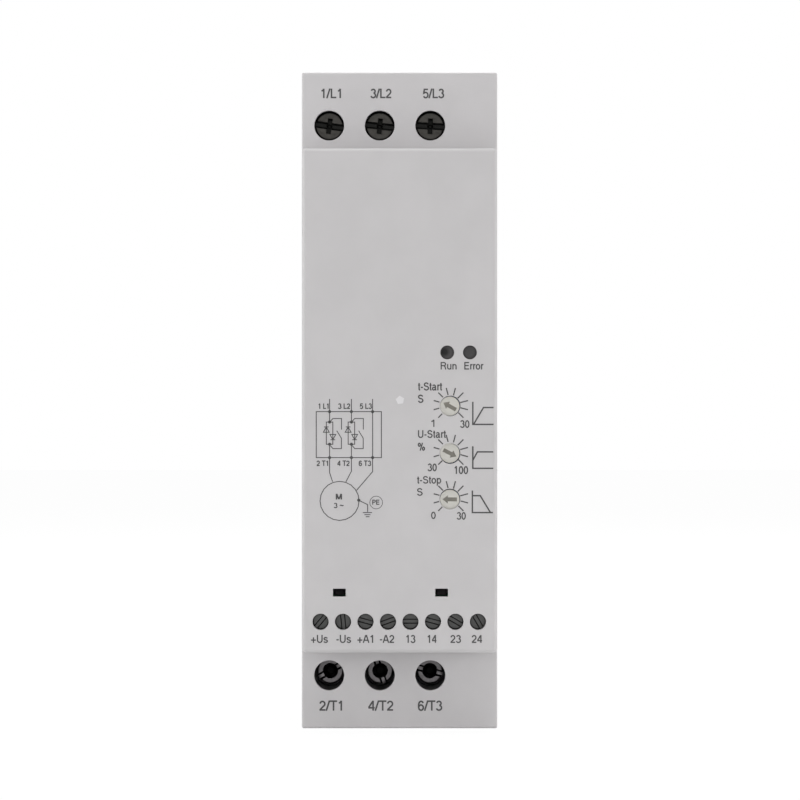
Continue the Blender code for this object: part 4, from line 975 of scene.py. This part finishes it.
class STARTER_OT_clamps(bpy.types.Operator):
    """Rising cages of all the clamps, and the bars that they press on"""

    bl_idname = "starter.clamps"
    bl_label = "Clamp cages and bars"

    def execute(self, context):
        zinc = metallic("cage_zinc", colours().cage, 0.34, 2.0)
        copper = metallic("bar_tinned_copper", colours().bar, 0.3, 6.0, (6.0, 6.0, 1.0))
        for row in ("line", "load"):
            for i in POLES:
                refined(f"{row}_cage_{i}", "pressing", "cage", zinc, 0.2 * MM)
            for i in POLES[:2]:
                refined(f"{row}_bar_{i}", "strip", "bar", copper, 0.15 * MM)
        refined("through_bar", "strip", "bar", copper, 0.15 * MM)
        for i in CONTROLS:
            refined(f"control_cage_{i}", "pressing", "cage", zinc, 0.08 * MM)
        return {"FINISHED"}


class STARTER_OT_inner_parts(bpy.types.Operator):
    """Heat sink, boards and the power and supply parts inside"""

    bl_idname = "starter.inner_parts"
    bl_label = "Inner parts"

    def execute(self, context):
        own = colours()
        drawn = (12.0, 12.0, 1.0)
        aluminium = metallic("extruded_aluminium", own.sink, 0.36, 12.0, drawn, 0.08)
        epoxy = moulded("module_epoxy", own.module, 0.6, 0.4, 0.012, 0.15)
        case = moulded("relay_case_plastic", own.relay, 0.38, 0.3, 0.006, 0.12)
        iron = metallic("varnished_core", own.iron, 0.5, 3.0, (1.0, 12.0, 1.0))
        sleeve = moulded("capacitor_sleeve", own.sleeve, 0.32, 0.6, 0.004, 0.1)
        mask = laminate()
        refined("heat_sink", "extrusion", "heat_sink", aluminium, 0.15 * MM)
        for name in ("control_board", "power_board"):
            refined(name, "laminate", "board", mask, 0.08 * MM)
        for i in (1, 2):
            refined(f"thyristor_module_{i}", "casting", "module", epoxy, 0.3 * MM)
            refined(f"bypass_relay_{i}", "case", "relay", case, 0.15 * MM)
        refined("supply_transformer", "core", "transformer", iron, 0.2 * MM)
        refined("buffer_capacitor", "can", "capacitor", sleeve, 0.2 * MM)
        refined("board_connector", "case", "relay", case, 0.15 * MM)
        return {"FINISHED"}


# Print


def arc(x, z, wide, high, start, end):
    """Points along part of an ellipse, from one angle to another in degrees."""
    steps = max(2, round(abs(end - start) / 18.0))
    angles = [math.radians(start + (end - start) * i / steps) for i in range(steps + 1)]
    return [(x + wide * math.cos(angle), z + high * math.sin(angle)) for angle in angles]


# Letters and figures on a cap height of 72 units: how far each moves on, then its strokes
LETTERS = {
    "0": (56, arc(28, 34.5, 19, 31, 0, 360)),
    "1": (56, [(31, 0), (31, 71)], [(11, 54), (20, 56), (27, 62), (29, 71)]),
    "2": (56, arc(27, 48, 18.5, 17.5, 175, -40) + [(8, 7)], [(3, 5), (50, 5)]),
    "3": (56, arc(27, 51.5, 17, 14.5, 165, -80), arc(27, 20.5, 20.5, 17, 80, -165)),
    "4": (56, [(40, 0), (40, 71)], [(38, 67), (6, 22)], [(3, 20), (52, 20)]),
    "5": (56, [(48, 66), (15, 66), (10, 37)] + arc(27, 23, 20, 20, 128, -155)),
    "6": (56, arc(29, 40, 20, 26, 32, 180) + [(9, 22)], arc(28, 21.5, 18.5, 18.5, 0, 360)),
    "A": (67, [(6, 0), (31, 71)], [(36, 71), (61, 0)], [(15, 24), (52, 24)]),
    "E": (67, [(61, 67), (13.5, 67), (13.5, 5), (62, 5)], [(13, 38), (57, 38)]),
    "L": (56, [(12.5, 72), (12.5, 5), (54, 5)]),
    "M": (83, [(12, 0), (12, 72)], [(15, 71), (40, 4)], [(43, 4), (68, 71)], [(71, 72), (71, 0)]),
    "P": (67, [(13.5, 0), (13.5, 67), (38, 67)] + arc(39, 51.5, 18, 15.5, 80, -90) + [(13, 36)]),
    "R": (
        72,
        [(14, 0), (14, 67), (42, 67)] + arc(43, 52, 17, 15, 80, -90) + [(14, 37)],
        [(40, 37), (53, 31), (58, 16), (62, 0)],
    ),
    "S": (67, arc(33, 52.5, 21, 14.5, 8, 250) + arc(34, 20.5, 23, 16.5, 70, -172)),
    "T": (61, [(1.5, 67), (59.5, 67)], [(30.5, 0), (30.5, 67)]),
    "U": (72, [(12.5, 72)] + arc(36, 25, 23.5, 21, 180, 360) + [(59.5, 72)]),
    "a": (
        56,
        arc(25, 35, 15.5, 13.5, 155, 0) + [(40.5, 12), (44, 5), (52, 5)],
        [(40.5, 30)] + arc(23, 15.5, 14, 12, 85, 270) + [(33, 7), (40.5, 18)],
    ),
    "n": (56, [(11, 0), (11, 53)], [(11, 33)] + arc(28, 33, 16.5, 14.5, 150, 0) + [(44.5, 0)]),
    "o": (56, arc(28, 26, 19.5, 22.5, 0, 360)),
    "p": (56, [(10.5, -21), (10.5, 53)], arc(29, 26, 18, 22.5, 0, 360)),
    "r": (33, [(12.5, 0), (12.5, 53)], [(12.5, 32), (15, 41), (21, 47), (33, 48)]),
    "s": (50, arc(24.5, 37.5, 15.5, 10.5, 8, 250) + arc(25, 15, 17, 11, 70, -172)),
    "t": (28, [(13.5, 67), (13.5, 10), (17, 5), (26, 5)], [(1.5, 48), (26, 48)]),
    "u": (56, [(11, 53)] + arc(28, 19, 17, 14.5, 180, 340), [(44.5, 53), (44.5, 0)]),
    "/": (28, [(1, -1), (27, 72)]),
    "-": (33, [(4.5, 27.5), (29, 27.5)]),
    "+": (58, [(5, 25), (54, 25)], [(29.5, 0), (29.5, 50)]),
    "%": (89, arc(20, 53, 12, 14, 0, 360), arc(69, 17, 12, 14, 0, 360), [(30, -1), (58, 72)]),
    "~": (58, [(4, 28), (13, 35), (22, 35), (35, 28), (44, 28), (53, 35)]),
    " ": (28,),
}
PRINT_SHIFT = 0.07  # the print sits this many millimetres high on the mouldings


def ribbon(strokes, width, front):
    """Ink along (x, z) strokes in millimetres: each is drawn, then given depth and width."""
    bpy.ops.mesh.primitive_plane_add(size=MM)
    obj = settle("ink")
    whole(obj)
    bpy.ops.mesh.delete(type="VERT")
    thickness = sizes().ink
    for i, points in enumerate(strokes):
        layer = front - thickness + (i % 4) * 0.0005 * MM  # so that crossing strokes don't flicker
        places = [Vector((x * MM, layer, (z + PRINT_SHIFT) * MM)) for x, z in points]
        bpy.ops.mesh.primitive_plane_add(size=MM, location=places[0])
        bpy.ops.mesh.merge(type="CENTER")
        for start, end in zip(places, places[1:]):
            extrude(end - start)
        bpy.ops.mesh.select_linked()
        bpy.ops.mesh.remove_doubles(threshold=1e-6)
        extrude((0.0, thickness + 0.004 * MM, 0.0))
        bpy.ops.mesh.select_all(action="DESELECT")
    modify(obj, "SOLIDIFY", thickness=width * MM, offset=0.0, use_even_offset=True)
    face_outwards(obj)
    return obj


def words(text, xs, zs, weight):
    """The strokes of a word whose ink has these ends in millimetres, and their width."""
    bottom, top = sorted(zs)
    unit = (top - bottom) / 72.0
    width = weight * (top - bottom)
    start = 0.0
    strokes = []
    for letter in text:
        move, *lines = LETTERS[letter]
        strokes += [[(start + x, z) for x, z in line] for line in lines]
        start += move
    left, right = (edge_of(strokes, side, width / unit) for side in (-1, 1))
    grow = (xs[1] - xs[0]) / (right - left)
    placed = [[(xs[0] + (x - left) * grow, bottom + z * unit) for x, z in line] for line in strokes]
    return placed, width


def edge_of(strokes, side, width):
    """How far the ink reaches to one side: half a stroke past upright lines."""
    reach = []
    for line in strokes:
        for (x0, z0), (x1, z1) in zip(line, line[1:]):
            out = width / 2 * abs(z1 - z0) / math.hypot(x1 - x0, z1 - z0)
            reach += [side * x0 + out, side * x1 + out]
    return side * max(reach)


def write(words_and_places, front, weight=0.165):
    made = []
    for text, x0, x1, z0, z1 in words_and_places:
        strokes, width = words(text, (x0, x1), (z0, z1), weight)
        made.append(ribbon(strokes, width, front))
    return made


def dots(places, radius, front):
    """Filled printed dots, in millimetres."""
    made = []
    for x, z in places:
        bpy.ops.mesh.primitive_cylinder_add(
            vertices=20,
            radius=radius * MM,
            depth=sizes().ink + 0.005 * MM,
            location=(x * MM, front - sizes().ink / 2 + 0.003 * MM, (z + PRINT_SHIFT) * MM),
            rotation=(math.pi / 2, 0.0, 0.0),
        )
        made.append(settle("dot"))
    return made


def printed(name, objs):
    return finish_piece(joined(name, objs), HOUSING, "housing", ink())


CONTROL_WORDS = (
    ("+Us", -19.98, -16.18),
    ("-Us", -14.28, -10.95),
    ("+A1", -9.52, -5.97),
    ("-A2", -4.45, -1.22),
    ("13", 1.51, 3.57),
    ("14", 6.33, 8.33),
    ("23", 11.50, 13.87),
    ("24", 16.31, 18.63),
)
COVER_WORDS = (
    ("Run", 9.28, 12.89, 8.60, 6.92),
    ("Error", 14.63, 18.95, 8.60, 6.92),
    ("t-Start", 4.17, 9.59, 4.00, 2.19),
    ("S", 4.17, 5.38, 1.24, -0.60),
    ("1", 7.12, 7.91, -4.40, -6.05),
    ("30", 13.68, 15.77, -4.50, -6.24),
    ("U-Start", 4.17, 10.45, -6.78, -8.52),
    ("%", 4.12, 5.74, -9.62, -11.37),
    ("30", 6.33, 8.39, -14.29, -16.04),
    ("100", 12.41, 15.46, -14.86, -16.67),
    ("t-Stop", 3.95, 9.40, -17.15, -18.83),
    ("S", 3.95, 5.22, -19.87, -21.58),
    ("0", 7.12, 8.17, -25.17, -26.81),
    ("30", 12.92, 14.95, -25.26, -26.97),
)
SHOULDER_WORDS = (
    ("1/L1", -18.02, -13.50, 71.73, 69.53),
    ("3/L2", -6.70, -1.89, 71.73, 69.53),
    ("5/L3", 5.42, 10.25, 71.73, 69.53),
    ("2/T1", -18.45, -13.25, -69.15, -71.49),
    ("4/T2", -7.25, -1.45, -69.15, -71.49),
    ("6/T3", 4.22, 9.82, -69.15, -71.49),
)


class STARTER_OT_lettering(bpy.types.Operator):
    """Terminal, indicator and dial lettering on the cover and the shoulders"""

    bl_idname = "starter.lettering"
    bl_label = "Lettering"

    def execute(self, context):
        row = [(*word, -53.01, -54.82) for word in CONTROL_WORDS]
        printed("cover_lettering", write([*row, *COVER_WORDS], cover_front()))
        printed("shoulder_lettering", write(SHOULDER_WORDS, shoulder_front()))
        return {"FINISHED"}


def cover_front():
    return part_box("front_cover")[0].y + sizes().ink


def shoulder_front():
    return SHOULDERS + sizes().ink


class STARTER_OT_dial_scales(bpy.types.Operator):
    """Ticks round the dials and the small curves beside them"""

    bl_idname = "starter.dial_scales"
    bl_label = "Dial scales"

    def execute(self, context):
        front = cover_front()
        ticks = []
        for name in DIALS:
            middle = middle_of(f"{name}_dial") / MM
            for i in range(10):
                angle = math.radians(225.0 - 30.0 * i)
                x, z = math.cos(angle), math.sin(angle)
                starts = 2.46 - 0.24 * x - 0.15 * z
                ticks.append([(11.58 + r * x, middle.z + 0.17 + r * z) for r in (starts, 4.02)])
        curves = [
            [(16.54, -0.37), (16.54, -5.48), (21.23, -5.48)],
            [(16.79, -5.35), (18.95, -1.67), (21.23, -1.67)],
            [(16.54, -10.42), (16.54, -15.40), (21.16, -15.40)],
            [(16.54, -13.59), (17.58, -11.69), (21.16, -11.69)],
            [(16.44, -20.41), (16.44, -25.39), (21.07, -25.39)],
            [(16.44, -21.58), (18.22, -21.58), (20.53, -25.39)],
        ]
        made = [ribbon(ticks, 0.28, front), ribbon(curves, 0.33, front)]
        printed("dial_scale_print", made)
        return {"FINISHED"}


class STARTER_OT_circuit_diagram(bpy.types.Operator):
    """Printed circuit of the two switched phases, the straight third one and the motor"""

    bl_idname = "starter.circuit_diagram"
    bl_label = "Circuit diagram"

    def execute(self, context):
        front = cover_front()
        top, bottom = -2.6, -12.98
        left, right = -18.82, -4.10
        drawn = [[(left, top), (right, top), (right, bottom), (left, bottom), (left, top)]]
        spots = []
        for x in (-15.80, -10.87):
            drawn += [
                [(x, 0.27), (x, -4.95)],
                [(x, -4.95), (x - 0.74, -4.95), (x - 0.74, -9.96), (x, -9.96)],
                [(x, -4.95), (x + 0.73, -4.95), (x + 0.73, -9.96), (x, -9.96)],
                [(x + 0.2, -4.75), (x + 0.75, -4.15), (x + 2.69, -4.15), (x + 2.69, -6.65)],
                [(x + 1.62, -6.9), (x + 2.66, -8.6), (x + 2.66, -10.95)]
                + [(x + 0.75, -10.95), (x + 0.2, -10.3)],
                [(x, -9.96), (x, -16.16)],
            ]
            for shift, base, way in ((-0.74, -7.25, 1), (0.73, -7.75, -1)):
                wide = 0.66
                middle = x + shift
                tip = base + 1.2 * way
                corners = [(middle - wide, base), (middle + wide, base), (middle, tip)]
                drawn.append([*corners, corners[0]])
                drawn.append([(middle - wide * 0.8, tip), (middle + wide * 0.8, tip)])
            spots += [(x, top), (x, -4.95), (x, -9.96), (x, bottom)]
        drawn += [
            [(-6.09, 0.27), (-6.09, -16.16), (-9.72, -20.38)],
            [(-15.86, -16.16), (-15.13, -18.42)],
            [(-10.93, -16.16), (-12.11, -18.45)],
            arc(-13.55, -22.75, 4.41, 4.41, 0, 360),
            [(-9.22, -22.6), (-7.21, -23.6), (-7.21, -25.24)],
            [(-8.30, -25.40), (-6.20, -25.40)],
            [(-7.93, -25.87), (-6.57, -25.87)],
            [(-7.64, -26.33), (-6.77, -26.33)],
        ]
        spots += [(-6.09, top), (-6.09, bottom), (-9.22, -22.6)]
        labels = (
            ("1 L1", -18.30, -16.05, -0.74, -1.95),
            ("3 L2", -13.89, -11.15, -0.74, -1.95),
            ("5 L3", -8.94, -6.25, -0.74, -1.95),
            ("2 T1", -18.73, -16.15, -13.65, -14.86),
            ("4 T2", -14.07, -11.30, -13.65, -14.86),
            ("6 T3", -9.22, -6.43, -13.65, -14.86),
            ("3", -14.87, -14.03, -23.2, -24.35),
            ("~", -13.55, -12.6, -23.1, -24.3),
            ("PE", -6.15, -4.55, -22.5, -23.6),
        )
        made = [ribbon(drawn, 0.2, front), *dots(spots, 0.36, front)]
        made.append(ribbon([arc(-5.28, -23.12, 1.44, 1.44, 0, 360)], 0.13, front))
        made += write([("M", -14.42, -12.98, -21.15, -22.45)], front, 0.26)
        printed("circuit_print", made + write(labels, front, 0.2))
        return {"FINISHED"}


# Stage


LAMPS = (  # name, place, aim, width, height and watts
    ("key_lamp", (0.0, -0.85, 0.95), (0.0, -0.1, 0.0), 0.9, 0.5, 0.9),
    ("fill_lamp", (0.0, -1.3, 0.09), (0.0, -0.1, 0.08), 0.7, 0.32, 1.5),
    ("left_lamp", (-0.95, -0.4, 0.1), (0.0, -0.1, 0.0), 0.4, 0.9, 6.3),
    ("right_lamp", (0.95, -0.4, 0.1), (0.0, -0.1, 0.0), 0.4, 0.9, 5.2),
    ("rear_lamp", (0.2, 0.9, 0.7), (0.0, 0.0, 0.0), 0.8, 0.5, 5.2),
    ("top_lamp", (0.0, -0.05, 1.0), (0.0, -0.05, 0.0), 0.6, 0.3, 4.0),
)
CAMERA_PLACE = (0.0001, -0.9315, 0.0001)
CAMERA_LENS = 163.4
SKY_LIGHT = 0.335
FLOOR_GLOW = 1.015
FLOOR_GLOW_SHARE = 0.95  # the rest of what the camera sees of the floor is its shaded colour


def light_path_mix(tree, shaded, plain):
    """Shows the plain shader to the camera and in gloss or glass, and the other to the rest."""
    path = add_node(tree, "LightPath", {}).outputs
    seen = path["Is Camera Ray"]
    for kind in ("Is Glossy Ray", "Is Transmission Ray"):
        seen = add_node(tree, "Math", {0: seen, 1: path[kind]}, operation="MAXIMUM").outputs[0]
    return add_node(tree, "MixShader", {"Fac": seen, 1: shaded, 2: plain}).outputs[0]


def add_lamp(name, place, aim, width, height, watts):
    bpy.ops.object.light_add(type="AREA", location=place)
    lamp = bpy.context.active_object
    lamp.name = name
    lamp.data.shape = "RECTANGLE"
    lamp.data.size, lamp.data.size_y = width, height
    lamp.data.energy = watts
    lamp.rotation_euler = (Vector(aim) - Vector(place)).to_track_quat("-Z", "Y").to_euler()


class STARTER_OT_stage(bpy.types.Operator):
    """Pale floor, white background, soft lamps and the camera"""

    bl_idname = "starter.stage"
    bl_label = "Stage"

    def execute(self, context):
        scene = context.scene
        bpy.ops.mesh.primitive_plane_add(size=6.0, location=(0.0, 0.0, CAD_BOX[0][2]))
        floor = settle("floor")
        floor.data.materials.append(self.floor_material())
        self.light_world(scene)
        for lamp in LAMPS:
            add_lamp(*lamp)
        upright = (math.pi / 2, 0.0, 0.0)
        bpy.ops.object.camera_add(location=CAMERA_PLACE, rotation=upright)
        camera = context.active_object
        camera.data.lens = CAMERA_LENS
        camera.data.sensor_width = 36.0
        camera.data.clip_start = 0.01
        scene.camera = camera
        scene.view_settings.view_transform = "Standard"
        return {"FINISHED"}

    def floor_material(self):
        material, tree, shader, place = new_finish("pale_floor")
        grain = add_noise(tree, place, 30.0 * MM, 3.0)
        shade = add_shades(tree, grain, colours().floor, 0.01, 0.15)
        feed(shader, {"Base Color": shade, "Roughness": 0.9})
        shaded = shader.outputs["BSDF"]
        glow = add_node(tree, "Emission", {"Strength": FLOOR_GLOW}).outputs[0]
        values = {"Fac": FLOOR_GLOW_SHARE, 1: shaded, 2: glow}
        white = add_node(tree, "MixShader", values).outputs[0]
        feed(tree.nodes["Material Output"], {"Surface": light_path_mix(tree, shaded, white)})
        return material

    def light_world(self, scene):
        world = bpy.data.worlds.new("studio")
        scene.world = world
        world.use_nodes = True
        tree = world.node_tree
        white = (1.0, 1.0, 1.0, 1.0)
        soft = feed(tree.nodes["Background"], {"Color": white, "Strength": SKY_LIGHT}).outputs[0]
        plain = add_node(tree, "Background", {"Color": white, "Strength": 1.0}).outputs[0]
        feed(tree.nodes["World Output"], {"Surface": light_path_mix(tree, soft, plain)})


STEPS = (
    STARTER_OT_front_cover,
    STARTER_OT_front_housing,
    STARTER_OT_rear_housing,
    STARTER_OT_rail_latch,
    STARTER_OT_terminal_carriers,
    STARTER_OT_main_screws,
    STARTER_OT_control_screws,
    STARTER_OT_control_block,
    STARTER_OT_dials,
    STARTER_OT_light_guides,
    STARTER_OT_clamps,
    STARTER_OT_inner_parts,
    STARTER_OT_lettering,
    STARTER_OT_dial_scales,
    STARTER_OT_circuit_diagram,
    STARTER_OT_stage,
)


class STARTER_PT_pieces(bpy.types.Panel):
    """Sizes, colours and the pieces in the order they are made"""

    bl_idname = "STARTER_PT_pieces"
    bl_label = "Soft starter"
    bl_space_type = "VIEW_3D"
    bl_region_type = "UI"
    bl_category = "Soft starter"

    def draw(self, context):
        for step in STEPS:
            self.layout.operator(step.bl_idname)
        for group in (context.scene.starter_sizes, context.scene.starter_colours):
            for name in group.__annotations__:
                self.layout.prop(group, name)


CLASSES = (StarterSizes, StarterColours, *STEPS, STARTER_PT_pieces)


def register():
    for item in CLASSES:
        bpy.utils.register_class(item)
    bpy.types.Scene.starter_sizes = bpy.props.PointerProperty(type=StarterSizes)
    bpy.types.Scene.starter_colours = bpy.props.PointerProperty(type=StarterColours)


def unregister():
    del bpy.types.Scene.starter_colours
    del bpy.types.Scene.starter_sizes
    for item in reversed(CLASSES):
        bpy.utils.unregister_class(item)


def main():
    register()
    deselect()
    bpy.ops.starter.front_cover()
    bpy.ops.starter.front_housing()
    bpy.ops.starter.rear_housing()
    bpy.ops.starter.rail_latch()
    bpy.ops.starter.terminal_carriers()
    bpy.ops.starter.main_screws()
    bpy.ops.starter.control_screws()
    bpy.ops.starter.control_block()
    bpy.ops.starter.dials()
    bpy.ops.starter.light_guides()
    bpy.ops.starter.clamps()
    bpy.ops.starter.inner_parts()
    bpy.ops.starter.lettering()
    bpy.ops.starter.dial_scales()
    bpy.ops.starter.circuit_diagram()
    bpy.ops.starter.stage()


if __name__ == "__main__":
    main()
